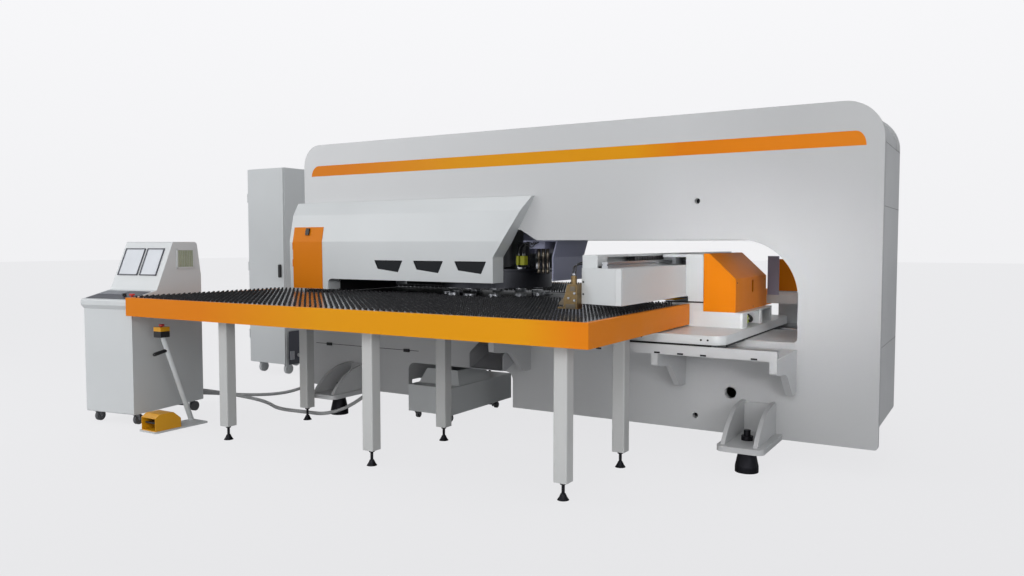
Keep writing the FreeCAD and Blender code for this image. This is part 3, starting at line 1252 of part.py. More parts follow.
def console_casters():
    """Swivel positions of the console in its own frame."""
    return [(45, 60), (CONSOLE_WIDTH - 45, 60)]


def console_fork(i):
    x, y = console_casters()[i]
    return in_console(caster_fork(x, y, CONSOLE_WHEEL, 24))


def console_wheel(i):
    x, y = console_casters()[i]
    return in_console(caster_wheel(x, y, CONSOLE_WHEEL, 24))


def console_axle_y():
    return CONSOLE_DEPTH - 70


def console_axle_wheels():
    return in_console(wheel_pair((14, CONSOLE_WIDTH - 14), console_axle_y(), CONSOLE_WHEEL, 26))


# ---- foot switch stand --------------------------------------------------------------------------
def pedestal():
    """Base plate, leaning pole with a carrying handle, and the box of the stop button."""
    plate_z = (0, STAND_PLATE)
    base = plate(rectangle(STAND_X, STAND_Y, 12), "XY", plate_z)
    pole = rod((*POLE_FOOT, STAND_PLATE - 2), POLE_HEAD, POLE_RADIUS)
    head_x, head_y, head_z = POLE_HEAD
    case = plate(rectangle((head_x - 38, head_x + 38), (head_y - 42, head_y + 30), 8), "XY", (head_z - 6, head_z + 66))
    handle = rod((head_x, head_y + 45, head_z - 105), (head_x, head_y - 75, head_z - 130), 11)
    bore = cylinder(9 + SEAT, (head_x, head_y - 6, head_z + 20), 80)
    return union([base, pole, case, handle]).cut(bore)


def pedestal_stop():
    x, y, z = POLE_HEAD
    return push_button(x, y - 6, z + 66, 20, 9, STOP_TRAVEL + 2)


def guard_side(inset):
    """Side outline of the foot guard, drawn in from its skin."""
    base = STAND_PLATE
    return [
        (GUARD_Y[0] + (-10 if inset else 0), base + inset, 0), (GUARD_Y[1] - inset, base + inset, 0),
        (GUARD_Y[1] - inset, base + GUARD_HEIGHT * 0.55, 24), (GUARD_Y[1] - 62, base + GUARD_HEIGHT - inset, 24),
        (GUARD_Y[0] + 40, base + GUARD_HEIGHT - inset, 24),
        (GUARD_Y[0] + (-10 if inset else 0), base + GUARD_HEIGHT * (0.72 if inset else 0.78), 0),
    ]


def foot_switch_guard():
    """Moulded guard around the pedal, open in front."""
    shell = plate(guard_side(0), "YZ", GUARD_X)
    room = plate(guard_side(GUARD_WALL), "YZ", (GUARD_X[0] + GUARD_WALL, GUARD_X[1] - GUARD_WALL))
    pin = cylinder(5, (GUARD_X[0], *PEDAL_HINGE), GUARD_X[1] - GUARD_X[0], X_AXIS)
    return union([shell.cut(room), pin])


def foot_pedal():
    """Treadle on a pin at its back end."""
    hinge_y, hinge_z = PEDAL_HINGE
    x = (GUARD_X[0] + GUARD_WALL + 12, GUARD_X[1] - GUARD_WALL - 12)
    front = GUARD_Y[0] + 18
    side = [
        (hinge_y + 12, hinge_z - 10, 8), (hinge_y + 12, hinge_z + 12, 8), (front, hinge_z + 26, 4),
        (front, hinge_z + 14, 4), (hinge_y - 20, hinge_z - 10, 8),
    ]
    tread = plate(side, "YZ", x)
    return tread.cut(cylinder(5 + RUNNING, (x[0] - 1, hinge_y, hinge_z), x[1] - x[0] + 2, X_AXIS))


# ---- cabinet ------------------------------------------------------------------------------------
def cabinet_body():
    """Sheet cabinet with its mounting plate, open in front where its door closes, on braked casters."""
    wall = CABINET_WALL
    shell = plate(rectangle(CABINET_X, CABINET_Y, 6), "XY", CABINET_Z)
    room = box(grown(CABINET_X, -wall), (CABINET_Y[0] - 1, CABINET_Y[1] - wall), grown(CABINET_Z, -wall))
    tray = box(grown(CABINET_X, -wall - 20), (CABINET_Y[1] - 60, CABINET_Y[1] - wall), grown(CABINET_Z, -90))
    return union([shell.cut(room), tray, gland("conduit_3", "start")] + cabinet_casters())


def braked_caster(x, y):
    """Caster whose wheel its brake holds, up to the cabinet's floor."""
    radius, half, cheek = CABINET_WHEEL, CABINET_WHEEL_WIDTH / 2, 4
    axle_y = y + CASTER_TRAIL
    head_bottom = 2 * radius + 2
    pieces = [cylinder(radius, (x - half, axle_y, radius), 2 * half, X_AXIS)]
    fork = [(y - 24, head_bottom, 0), (axle_y - 12, radius - 12, 8), (axle_y + 12, radius - 12, 8), (y + 24, head_bottom, 0)]
    for side in (-half - cheek, half):
        pieces.append(plate(fork, "YZ", (x + side, x + side + cheek)))
    pieces.append(box((x - half - cheek, x + half + cheek), (y - 24, y + 24), (head_bottom, CABINET_Z[0])))
    return union(pieces)


def cabinet_casters():
    inner = CABINET_CASTER_INSET
    places = [(x, y) for x in grown(CABINET_X, -inner) for y in (CABINET_Y[0] + inner, CABINET_Y[1] - inner)]
    return [braked_caster(x, y) for x, y in places]


def cabinet_door():
    """Door on the cabinet's front, hinged on its left edge."""
    x = grown(CABINET_X, -3)
    y = (CABINET_Y[0] - CABINET_DOOR - SEAT, CABINET_Y[0] - SEAT)
    door = plate(rectangle(x, y, 4), "XY", grown(CABINET_Z, -6))
    bottoms = [CABINET_Z[0] + height for height in CABINET_KNUCKLES]
    door = union([door] + knuckles(x[0], y[0], CABINET_KNUCKLE_RADIUS, bottoms, CABINET_KNUCKLE))
    bore_z = sum(CABINET_Z) / 2
    return door.cut(cylinder(7 + RUNNING, (CABINET_X[1] - 45, y[0] - 1, bore_z), CABINET_DOOR + 2, Y_AXIS))


def cabinet_handle():
    """Swing handle with a spindle through the door."""
    front = CABINET_Y[0] - CABINET_DOOR - SEAT
    z = sum(CABINET_Z) / 2
    x = CABINET_X[1] - 45
    spindle = cylinder(7, (x, front - 12, z), CABINET_DOOR + 12, Y_AXIS)
    grip = plate(rectangle((x - 13, x + 13), (z - 110, z + 22), 12), "XZ", (front - 24, front - 2))
    return union([spindle, grip])


# ---- conduits -----------------------------------------------------------------------------------
CONDUIT_ROUTES = {
    "conduit_1": [
        (LEFT_END - 535.5, -681, 150), (LEFT_END - 580.5, -420, 84), (LEFT_END - 398.5, -215, 14),
        (LEFT_END - 148.5, -290, 14), (LEFT_END + 91.5, -420, 14), (LEFT_END + 371.5, -400, 14),
        (LEFT_END + 621.5, -400, 20), (LEFT_END + 774.5, -235, 100), (LEFT_END + 781.5, -24, 200),
    ],
    "conduit_2": [
        (LEFT_END - 604.5, -692, 120), (LEFT_END - 663.5, -425, 70), (LEFT_END - 568.5, -130, 14),
        (LEFT_END - 368.5, 75, 14), (LEFT_END - 228.5, 230, 70), (LEFT_END - 133.5, 345, 200),
        (LEFT_END - 16.5, 420, 330),
    ],
    "conduit_3": [
        (LEFT_END - 1134.5, 1000, 200), (LEFT_END - 873.5, 965, 120), (LEFT_END - 608.5, 840, 14),
        (LEFT_END - 378.5, 640, 14), (LEFT_END - 248.5, 520, 110), (LEFT_END - 133.5, 470, 250),
        (LEFT_END - 16.5, 470, 400),
    ],
}


def bend(before, corner, after):
    """Start, middle, end and radius of the arc that rounds a corner of a route."""
    back, ahead = before - corner, after - corner
    turn = math.pi - back.getAngle(ahead)
    reach = 0.45 * min(back.Length, ahead.Length)
    radius = reach / math.tan(turn / 2)
    back.normalize()
    ahead.normalize()
    inward = (back + ahead).normalize()
    middle = corner + inward * (radius / math.cos(turn / 2) - radius)
    return corner + back * reach, middle, corner + ahead * reach, radius


def route_path(points):
    """Wire of straight runs joined by tangent arcs, with the arcs' radii."""
    edges = []
    radii = []
    start = points[0]
    for before, corner, after in zip(points, points[1:], points[2:]):
        first, middle, last, radius = bend(before, corner, after)
        edges.append(Part.LineSegment(start, first).toShape())
        edges.append(Part.Arc(first, middle, last).toShape())
        radii.append(radius)
        start = last
    edges.append(Part.LineSegment(start, points[-1]).toShape())
    return Part.Wire(edges), radii


def conduit(name):
    """Flexible tube along its route."""
    points = [V(*point) for point in CONDUIT_ROUTES[name]]
    path, radii = route_path(points)
    tubes = []
    for radius in (CONDUIT_RADIUS, CONDUIT_RADIUS - CONDUIT_WALL):
        circle = Part.makeCircle(radius, points[0], points[1] - points[0])
        tubes.append(path.makePipeShell([Part.Wire(circle)], True, False))
    tube = tubes[0].cut(tubes[1])
    section = math.pi * (CONDUIT_RADIUS ** 2 - (CONDUIT_RADIUS - CONDUIT_WALL) ** 2)
    print(name, "length", round(path.Length), "smallest bend", round(min(radii)),
          "volume against section times length", round(tube.Volume / (section * path.Length), 4))
    return tube


def gland(name, end):
    """Gland in line with a conduit's first or last run, sunk into what it is fixed to."""
    points = [V(*point) for point in CONDUIT_ROUTES[name]]
    tip, next_point = (points[0], points[1]) if end == "start" else (points[-1], points[-2])
    outward = (tip - next_point).normalize()
    return Part.makeCylinder(GLAND_RADIUS, GLAND_LENGTH, tip, outward)


# ---- the whole machine --------------------------------------------------------------------------
def pieces():
    """Every piece by its name, where it stands while the machine is built."""
    trolley = trolley_casters()
    built = {
        "frame": frame(),
        "frame_pads": frame_pads(),
        "front_hood": front_hood(),
        "rear_hood": rear_hood(),
        "access_door": access_door(),
        "ram_housing": ram_housing(),
        "ram_striker": ram_striker(),
        "upper_turret": upper_turret(),
        "lower_turret": lower_turret(),
        "punches": punches(),
        "dies": dies(),
        "turret_bearings": turret_bearings(),
        "motors": motors(),
        "centre_table": centre_table(),
        "table_aprons": table_aprons(),
        "table_decks": table_decks(),
        "brush_mats": brush_mats(),
        "table_legs": table_legs(),
        "levelling_feet": levelling_feet(),
        "rail_beds": rail_beds(),
        "saddle_rails": saddle_rails(),
        "saddle_screw": saddle_screw(),
        "saddle": saddle(),
        "guide_blocks": guide_blocks(),
        "drive_cover": drive_cover(),
        "beam_motor": beam_motor(),
        "beam_pinion": beam_pinion(),
        "cable_box": cable_box(),
        "beam": beam(),
        "beam_rails": beam_rails(),
        "beam_rack": beam_rack(),
        "clamp_bodies": clamp_bodies(),
        "scrap_chute": scrap_chute(),
        "trolley_bin": trolley_bin(),
        "trolley_axle_wheels": trolley_axle_wheels(),
        "console_body": console_body(),
        "console_stop": console_stop(),
        "console_knob": console_knob(),
        "console_axle_wheels": console_axle_wheels(),
        "pedestal": pedestal(),
        "pedestal_stop": pedestal_stop(),
        "foot_switch_guard": foot_switch_guard(),
        "foot_pedal": foot_pedal(),
        "cabinet_body": cabinet_body(),
        "cabinet_door": cabinet_door(),
        "cabinet_handle": cabinet_handle(),
    }
    for i, y in enumerate(CLAMP_YS):
        built[f"clamp_jaw_{i + 1}"] = clamp_jaw(y)
    for i, (x, y) in enumerate(trolley):
        built[f"trolley_fork_{i + 1}"] = caster_fork(x, y, BIN_WHEEL, 20)
        built[f"trolley_wheel_{i + 1}"] = caster_wheel(x, y, BIN_WHEEL, 20)
    for name in CONDUIT_ROUTES:
        built[name] = conduit(name)
    for i in range(2):
        built[f"console_fork_{i + 1}"] = console_fork(i)
        built[f"console_wheel_{i + 1}"] = console_wheel(i)
    return built


def floor_middle(built):
    """Middle of the machine on the floor, which becomes the origin."""
    bounds = group([shape for name, shape in built.items() if not name.startswith("conduit")]).BoundBox
    return V((bounds.XMin + bounds.XMax) / 2, (bounds.YMin + bounds.YMax) / 2, bounds.ZMin)


def main():
    os.makedirs("parts", exist_ok=True)
    built = pieces()
    shift = floor_middle(built) * -1
    for name, shape in built.items():
        shape.translated(shift).exportStep(f"parts/{name}.step")


main()
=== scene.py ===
import json
import math
import random

import bmesh
import bpy
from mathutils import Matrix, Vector


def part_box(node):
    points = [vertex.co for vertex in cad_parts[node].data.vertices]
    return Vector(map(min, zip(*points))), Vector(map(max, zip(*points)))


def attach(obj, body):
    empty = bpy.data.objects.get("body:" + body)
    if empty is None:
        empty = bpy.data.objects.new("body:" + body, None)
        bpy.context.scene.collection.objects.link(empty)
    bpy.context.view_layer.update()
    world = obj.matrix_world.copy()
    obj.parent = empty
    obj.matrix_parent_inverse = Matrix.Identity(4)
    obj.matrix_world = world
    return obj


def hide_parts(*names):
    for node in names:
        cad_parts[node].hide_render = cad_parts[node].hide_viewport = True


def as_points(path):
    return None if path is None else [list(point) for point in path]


# Looks of the turret punch press. Places are in metres, counted as the press itself counts them: x from
# the frame's right end, y from its front face towards the back, z from the floor. at() turns such a
# place into one in the frame that the parts share.

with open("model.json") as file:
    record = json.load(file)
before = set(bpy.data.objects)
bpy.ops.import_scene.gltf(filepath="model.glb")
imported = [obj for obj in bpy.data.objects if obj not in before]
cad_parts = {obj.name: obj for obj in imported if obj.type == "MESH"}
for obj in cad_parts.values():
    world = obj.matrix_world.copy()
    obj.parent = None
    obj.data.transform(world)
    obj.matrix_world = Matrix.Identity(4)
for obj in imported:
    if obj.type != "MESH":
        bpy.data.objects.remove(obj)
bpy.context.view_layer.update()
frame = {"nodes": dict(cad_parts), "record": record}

# ---- places ---------------------------------------------------------------------------------------
TABLE_LEFT, TABLE_REACH = -4.8, 1.444      # the table skirt's front left corner
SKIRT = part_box("table_aprons")[0]
HOME = Vector((SKIRT.x - TABLE_LEFT, SKIRT.y + TABLE_REACH, 0.0))

CONSOLE_CORNER, CONSOLE_TURN = (-5.290, -1.455), math.radians(9)


def at(x, y, z):
    """A place counted from the frame's right end, front face and floor."""
    return HOME + Vector((x, y, z))


def in_console(x, y, z):
    """A place counted from the console's own front left corner."""
    turned_x = x * math.cos(CONSOLE_TURN) - y * math.sin(CONSOLE_TURN)
    turned_y = x * math.sin(CONSOLE_TURN) + y * math.cos(CONSOLE_TURN)
    return at(CONSOLE_CORNER[0] + turned_x, CONSOLE_CORNER[1] + turned_y, z)


# ---- camera ---------------------------------------------------------------------------------------
IMAGE_WIDTH = 1024
SENSOR = 36.0
FOCAL_PIXELS = 821.0
CAMERA_PLACE = (0.602, -5.041, 1.335)
CAMERA_TURN, CAMERA_DIP = math.radians(31.08), math.radians(3.08)


def add_camera():
    """Camera with the photo's place, turn and field of view."""
    data = bpy.data.cameras.new("camera")
    data.sensor_width = SENSOR
    data.lens = SENSOR * FOCAL_PIXELS / IMAGE_WIDTH
    data.clip_end = 100
    camera = bpy.data.objects.new("camera", data)
    camera.location = at(*CAMERA_PLACE)
    camera.rotation_euler = (math.pi / 2 - CAMERA_DIP, 0, CAMERA_TURN)
    bpy.context.scene.collection.objects.link(camera)
    bpy.context.scene.camera = camera


# ---- node helpers ---------------------------------------------------------------------------------
def srgb(red, green, blue):
    """Linear colour of a picture's 0 to 255 values."""
    linear = []
    for value in (red / 255, green / 255, blue / 255):
        linear.append(value / 12.92 if value < 0.04045 else ((value + 0.055) / 1.055) ** 2.4)
    return (*linear, 1.0)


def shader(name, colour, roughness, metallic=0.0):
    """New material with its main shader set."""
    material = bpy.data.materials.new(name)
    material.use_nodes = True
    main = material.node_tree.nodes["Principled BSDF"]
    main.inputs["Base Color"].default_value = colour
    main.inputs["Roughness"].default_value = roughness
    main.inputs["Metallic"].default_value = metallic
    return material


def noise(material, scale, detail, stretch=(1, 1, 1)):
    """Noise over the piece's own place, returned as a node."""
    nodes, links = material.node_tree.nodes, material.node_tree.links
    place = nodes.new("ShaderNodeTexCoord")
    mapping = nodes.new("ShaderNodeMapping")
    mapping.inputs["Scale"].default_value = stretch
    texture = nodes.new("ShaderNodeTexNoise")
    texture.inputs["Scale"].default_value = scale
    texture.inputs["Detail"].default_value = detail
    links.new(place.outputs["Object"], mapping.inputs["Vector"])
    links.new(mapping.outputs["Vector"], texture.inputs["Vector"])
    return texture


def ramp(material, source, low, high, start, end):
    """Colour ramp from one colour to another between two values of a source."""
    nodes, links = material.node_tree.nodes, material.node_tree.links
    mix = nodes.new("ShaderNodeValToRGB")
    mix.color_ramp.elements[0].position = low
    mix.color_ramp.elements[1].position = high
    mix.color_ramp.elements[0].color = start
    mix.color_ramp.elements[1].color = end
    links.new(source, mix.inputs["Fac"])
    return mix


def tinted(colour, factor):
    """Colour made lighter or darker by a factor."""
    return tuple(min(1.0, c * factor) for c in colour[:3]) + (1.0,)


def mottle(material, colour, spread, scale, detail=3.0, stretch=(1, 1, 1)):
    """Slow change of tone over a surface."""
    texture = noise(material, scale, detail, stretch)
    dark, light = tinted(colour, 1 - spread), tinted(colour, 1 + spread)
    mix = ramp(material, texture.outputs["Fac"], 0.35, 0.65, dark, light)
    main = material.node_tree.nodes["Principled BSDF"]
    material.node_tree.links.new(mix.outputs["Color"], main.inputs["Base Color"])
    return mix


def uneven_gloss(material, low, high, scale):
    """Roughness that changes a little, as on wiped paint."""
    texture = noise(material, scale, 4.0)
    nodes, links = material.node_tree.nodes, material.node_tree.links
    reach = nodes.new("ShaderNodeMapRange")
    reach.inputs["To Min"].default_value = low
    reach.inputs["To Max"].default_value = high
    links.new(texture.outputs["Fac"], reach.inputs["Value"])
    links.new(reach.outputs["Result"], nodes["Principled BSDF"].inputs["Roughness"])


def bumps(material, scale, strength, depth, detail=2.0, stretch=(1, 1, 1)):
    """Fine relief, such as a paint's orange peel."""
    texture = noise(material, scale, detail, stretch)
    nodes, links = material.node_tree.nodes, material.node_tree.links
    bump = nodes.new("ShaderNodeBump")
    bump.inputs["Strength"].default_value = strength
    bump.inputs["Distance"].default_value = depth
    links.new(texture.outputs["Fac"], bump.inputs["Height"])
    links.new(bump.outputs["Normal"], nodes["Principled BSDF"].inputs["Normal"])


# ---- materials ------------------------------------------------------------------------------------
def paint(name, colour, roughness=0.38, peel=0.12, spread=0.025):
    """Sprayed and baked machine paint."""
    material = shader(name, colour, roughness)
    mottle(material, colour, spread, 1.3)
    uneven_gloss(material, roughness - 0.06, roughness + 0.08, 5.0)
    bumps(material, 420, peel, 0.0004)
    main = material.node_tree.nodes["Principled BSDF"]
    main.inputs["Coat Weight"].default_value = 0.15
    main.inputs["Coat Roughness"].default_value = 0.25
    return material


def painted_light_along(material, stops):
    """Colour that changes along the machine, from stops of (x, colour); it paints light and shade along
    the machine.
    """
    nodes, links = material.node_tree.nodes, material.node_tree.links
    start, end = stops[0][0], stops[-1][0]
    place = nodes.new("ShaderNodeTexCoord")
    parts = nodes.new("ShaderNodeSeparateXYZ")
    share = nodes.new("ShaderNodeMapRange")
    share.inputs["From Min"].default_value = at(start, 0, 0).x
    share.inputs["From Max"].default_value = at(end, 0, 0).x
    tones = nodes.new("ShaderNodeValToRGB")
    elements = tones.color_ramp.elements
    for i, (x, colour) in enumerate(stops):
        position = (x - start) / (end - start)
        element = elements[i] if i < 2 else elements.new(position)
        element.position = position
        element.color = colour
    links.new(place.outputs["Object"], parts.inputs["Vector"])
    links.new(parts.outputs["X"], share.inputs["Value"])
    links.new(share.outputs["Result"], tones.inputs["Fac"])
    links.new(tones.outputs["Color"], nodes["Principled BSDF"].inputs["Base Color"])


def orange_with_painted_light():
    """Orange paint with painted light: a lit gold tone over the middle of the machine, the plain redder
    orange towards both ends.
    """
    material = paint("orange_paint", LIT_ORANGE, 0.42)
    main = material.node_tree.nodes["Principled BSDF"]
    main.inputs["Coat Weight"].default_value = 0.0
    main.inputs["Specular IOR Level"].default_value = 0.16
    painted_light_along(material, ORANGE_LIGHT_TONES)
    return material


def frame_with_painted_shade():
    """Grey paint of the frame with painted light and shade: lighter at its left end, darker towards its
    right end and on the end itself.
    """
    material = paint("frame_paint", FRAME_GREY)
    painted_light_along(material, [(x, tinted(FRAME_GREY, share)) for x, share in FRAME_SHADE_TONES])
    return material


def metal(name, colour, roughness, stretch=(1, 1, 1), scale=60, strength=0.15):
    """Machined or plated metal with its grain along one direction."""
    material = shader(name, colour, roughness, metallic=1.0)
    mottle(material, colour, 0.08, scale, 3.0, stretch)
    bumps(material, scale * 6, strength, 0.0003, 3.0, stretch)
    return material


def plastic(name, colour, roughness=0.45, grain=0.2):
    """Moulded plastic or rubber with a fine grain."""
    material = shader(name, colour, roughness)
    mottle(material, colour, 0.06, 18)
    bumps(material, 900, grain, 0.0003)
    return material


def brush_plate_metal():
    """Polished plate between the brushes, with fine scratches."""
    return metal("brush_plate_metal", srgb(172, 174, 178), 0.2, (1, 14, 1), 40, 0.08)


def bristle():
    """Black nylon bristle, its tone a little uneven."""
    black = srgb(24, 24, 27)
    material = shader("bristle", black, 0.55)
    mottle(material, black, 0.3, 240)
    return material


def scuffed_black():
    """Black table paint with rubbed and dusty spots."""
    black = srgb(38, 38, 41)
    material = shader("scuffed_black", black, 0.42)
    nodes, links = material.node_tree.nodes, material.node_tree.links
    tone = mottle(material, black, 0.18, 7, 5.0)
    spots = noise(material, 38, 8.0, (1, 2.5, 1))
    worn = ramp(material, spots.outputs["Fac"], 0.64, 0.72, (0, 0, 0, 1), (1, 1, 1, 1))
    mix = nodes.new("ShaderNodeMixRGB")
    mix.inputs["Color2"].default_value = srgb(120, 120, 124)
    links.new(worn.outputs["Color"], mix.inputs["Fac"])
    links.new(tone.outputs["Color"], mix.inputs["Color1"])
    links.new(mix.outputs["Color"], nodes["Principled BSDF"].inputs["Base Color"])
    uneven_gloss(material, 0.3, 0.55, 9)
    bumps(material, 300, 0.15, 0.0004)
    return material


def smoked_glass():
    """Dark tinted pane, slightly wavy."""
    material = shader("smoked_glass", srgb(24, 27, 30), 0.08)
    bumps(material, 6, 0.03, 0.002)
    return material


def screen_painted_reflection():
    """Switched-off display whose pale blue-grey colour is a painted reflection."""
    colour = srgb(196, 200, 206)
    material = shader("screen_painted_reflection", colour, 0.12)
    mottle(material, colour, 0.04, 5)
    return material


FRAME_GREY = srgb(196, 197, 198)
COVER_GREY = srgb(206, 209, 210)
# The second colour is the orange as it looks where light falls on it, painted light; the tones below
# lay it over the middle of the machine.
ORANGE, LIT_ORANGE = srgb(216, 122, 1), srgb(218, 146, 2)
ORANGE_LIGHT_TONES = ((-4.0, ORANGE), (-2.9, LIT_ORANGE), (-1.5, LIT_ORANGE), (-1.2, ORANGE), (0.0, ORANGE))
FRAME_SHADE_TONES = (                            # x, and the share of the frame's grey there: painted light at the left, painted shade towards and on the right end
    (-4.5, 1.08), (-3.0, 1.0), (-1.2, 0.97), (-0.5, 0.81), (-0.004, 0.79), (0.0, 0.79),
)

# Looks of the record's material slots.
MATERIALS = {
    "frame_paint": frame_with_painted_shade,
    "cover_paint": lambda: paint("cover_paint", COVER_GREY, 0.34),
    "leg_paint": lambda: paint("leg_paint", srgb(190, 191, 190)),
    "orange_paint": orange_with_painted_light,
    "guard_paint": lambda: paint("guard_paint", srgb(150, 152, 176)),
    "dark_steel": lambda: metal("dark_steel", srgb(44, 44, 48), 0.5),
    "bright_steel": lambda: metal("bright_steel", srgb(178, 180, 184), 0.28, (1, 8, 8)),
    "turret_steel": lambda: metal("turret_steel", srgb(74, 75, 80), 0.42, (1, 1, 12)),
    "cast_grey": lambda: paint("cast_grey", srgb(120, 122, 126), 0.5, 0.5, 0.05),
    "motor_black": lambda: paint("motor_black", srgb(34, 34, 37), 0.4),
    "table_black": scuffed_black,
    "brush_black": bristle,
    "clamp_bronze": lambda: metal("clamp_bronze", srgb(134, 114, 82), 0.4),
    "clamp_steel": lambda: metal("clamp_steel", srgb(120, 112, 100), 0.35),
    "dark_sheet": lambda: paint("dark_sheet", srgb(168, 169, 172), 0.4),
    "caster_rubber": lambda: plastic("caster_rubber", srgb(88, 89, 92), 0.6),
    "zinc": lambda: metal("zinc", srgb(182, 184, 186), 0.34, (1, 1, 1), 90),
    "stop_red": lambda: plastic("stop_red", srgb(196, 32, 22), 0.28, 0.05),
    "knob_black": lambda: plastic("knob_black", srgb(30, 30, 32), 0.42),
    "guard_yellow": lambda: paint("guard_yellow", srgb(222, 158, 18), 0.36),
    "conduit_grey": lambda: plastic("conduit_grey", srgb(176, 177, 178), 0.5),
}
# Looks that only pieces of this script have.
EXTRA_MATERIALS = {
    "brush_plate": brush_plate_metal,
    "smoked_glass": smoked_glass,
    # pale screens: the colour is a painted reflection
    "screen_painted_reflection": screen_painted_reflection,
    # black of the gaps and seams, also used as painted shade on the window's jamb
    "gap_and_shade_black": lambda: plastic("gap_and_shade_black", srgb(18, 18, 20), 0.7),
    # dark panel of the console, also used as painted shade on the cabinet's side
    "panel_and_shade_dark": lambda: paint("panel_and_shade_dark", srgb(62, 64, 74), 0.4),
    "key_grey": lambda: plastic("key_grey", srgb(150, 152, 158), 0.5),
    "filter_olive": lambda: plastic("filter_olive", srgb(160, 164, 140), 0.8, 0.6),
    "wire_green": lambda: plastic("wire_green", srgb(168, 182, 70), 0.5),
    "valve_olive": lambda: paint("valve_olive", srgb(150, 152, 36), 0.5),
    # white behind the cover's grip slot, painted light for the light seen through it
    "slot_light_white": lambda: plastic("slot_light_white", srgb(226, 227, 226), 0.5),
}
made = {}


def look(name):
    """Material by name, made once."""
    if name not in made:
        made[name] = (MATERIALS.get(name) or EXTRA_MATERIALS[name])()
    return made[name]


def paint_cad_nodes():
    """Gives each CAD node the look of its slot."""
    for part in frame["record"]["subparts"]:
        data = frame["nodes"][part["node"]].data
        data.materials.clear()
        data.materials.append(look(part["material_slot"]))


# ---- mesh helpers ---------------------------------------------------------------------------------
SHARP_EDGE = 0.3             # an edge is rounded where its faces turn by more than this, in radians
BLOCK_FACES = ((0, 2, 3, 1), (4, 5, 7, 6), (0, 1, 5, 4), (2, 6, 7, 3), (0, 4, 6, 2), (1, 3, 7, 5))


def link(name, data, look_name, body):
    """Piece from mesh data, riding on a body."""
    piece = bpy.data.objects.new(name, data)
    bpy.context.scene.collection.objects.link(piece)
    data.materials.append(look(look_name))
    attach(piece, body)
    return piece


def mesh_piece(name, points, faces, look_name, body, smooth=False):
    """Piece from points and faces."""
    data = bpy.data.meshes.new(name)
    data.from_pydata([tuple(p) for p in points], [], faces)
    if smooth:
        data.shade_smooth()
    return link(name, data, look_name, body)


def bevelled(name, shape, width, look_name, body):
    """Piece from a bmesh whose edges are rounded."""
    if width:
        sharp = [edge for edge in shape.edges if edge.calc_face_angle(0) > SHARP_EDGE]
        bmesh.ops.bevel(shape, geom=sharp, offset=width, segments=2, profile=0.5, affect="EDGES")
    data = bpy.data.meshes.new(name)
    shape.to_mesh(data)
    shape.free()
    return link(name, data, look_name, body)


def add_block(shape, x, y, z, place):
    """Adds a block between limits on each axis to a bmesh."""
    corners = [place(x[i], y[j], z[k]) for k in (0, 1) for j in (0, 1) for i in (0, 1)]
    verts = [shape.verts.new(corner) for corner in corners]
    for face in BLOCK_FACES:
        shape.faces.new([verts[i] for i in face])


def blocks(name, limits, look_name, body, width, place=at):
    """One piece out of blocks with rounded edges."""
    shape = bmesh.new()
    for x, y, z in limits:
        add_block(shape, x, y, z, place)
    return bevelled(name, shape, width, look_name, body)


def slab(name, outline, lift, look_name, body):
    """Flat piece from an outline of places, lifted along a direction."""
    shape = bmesh.new()
    bottom = [shape.verts.new(p) for p in outline]
    top = [shape.verts.new(Vector(p) + Vector(lift)) for p in outline]
    count = len(outline)
    shape.faces.new(bottom[::-1])
    shape.faces.new(top)
    for i in range(count):
        shape.faces.new((bottom[i], bottom[(i + 1) % count], top[(i + 1) % count], top[i]))
    bmesh.ops.recalc_face_normals(shape, faces=shape.faces)
    return bevelled(name, shape, 0, look_name, body)


def across(direction):
    """Two directions square to a direction and to each other."""
    direction = Vector(direction).normalized()
    helper = Vector((0, 0, 1)) if abs(direction.z) < 0.9 else Vector((1, 0, 0))
    first = direction.cross(helper).normalized()
    return first, direction.cross(first)


def add_turned(shape, base, direction, profile, sides):
    """Adds a turned form whose profile is (distance along the direction, radius) from end to end."""
    direction = Vector(direction).normalized()
    first, second = across(direction)
    rings = []
    for along, radius in profile:
        centre = Vector(base) + direction * along
        ring = []
        for i in range(sides):
            angle = 2 * math.pi * i / sides
            spoke = first * math.cos(angle) + second * math.sin(angle)
            ring.append(shape.verts.new(centre + spoke * radius))
        rings.append(ring)
    for low, high in zip(rings, rings[1:]):
        for i in range(sides):
            shape.faces.new((low[i], low[(i + 1) % sides], high[(i + 1) % sides], high[i]))
    shape.faces.new(rings[0][::-1])
    shape.faces.new(rings[-1])


def turned(name, places, direction, profile, look_name, body, sides=20):
    """One piece with the same turned form at several places."""
    shape = bmesh.new()
    for place in places:
        add_turned(shape, place, direction, profile, sides)
    bmesh.ops.recalc_face_normals(shape, faces=shape.faces)
    data = bpy.data.meshes.new(name)
    shape.to_mesh(data)
    shape.free()
    piece = link(name, data, look_name, body)
    for polygon in data.polygons:
        polygon.use_smooth = len(polygon.vertices) == 4
    return piece


def spline(name, points, radius):
    """Smooth curve with the points as its control points."""
    data = bpy.data.curves.new(name, "CURVE")
    data.dimensions = "3D"
    data.resolution_u = 12
    data.bevel_depth = radius
    data.bevel_resolution = 3
    data.use_fill_caps = True
    line = data.splines.new("NURBS")
    line.points.add(len(points) - 1)
    for point, place in zip(line.points, points):
        point.co = (*place, 1)
    line.order_u = 3
    line.use_endpoint_u = True
    return data


def hose(name, points, radius, look_name, body):
    """Short hose or wire held by the machine."""
    return link(name, spline(name, points, radius), look_name, body)


def line_of(points):
    """Points along the smooth curve of a route."""
    data = spline("route", points, 0)
    data.bevel_depth = 0
    data.use_fill_caps = False
    guide = bpy.data.objects.new("route", data)
    bpy.context.scene.collection.objects.link(guide)
    mesh = bpy.data.meshes.new_from_object(guide)
    line = [vertex.co.copy() for vertex in mesh.vertices]
    bpy.data.objects.remove(guide)
    bpy.data.meshes.remove(mesh)
    bpy.data.curves.remove(data)
    return line


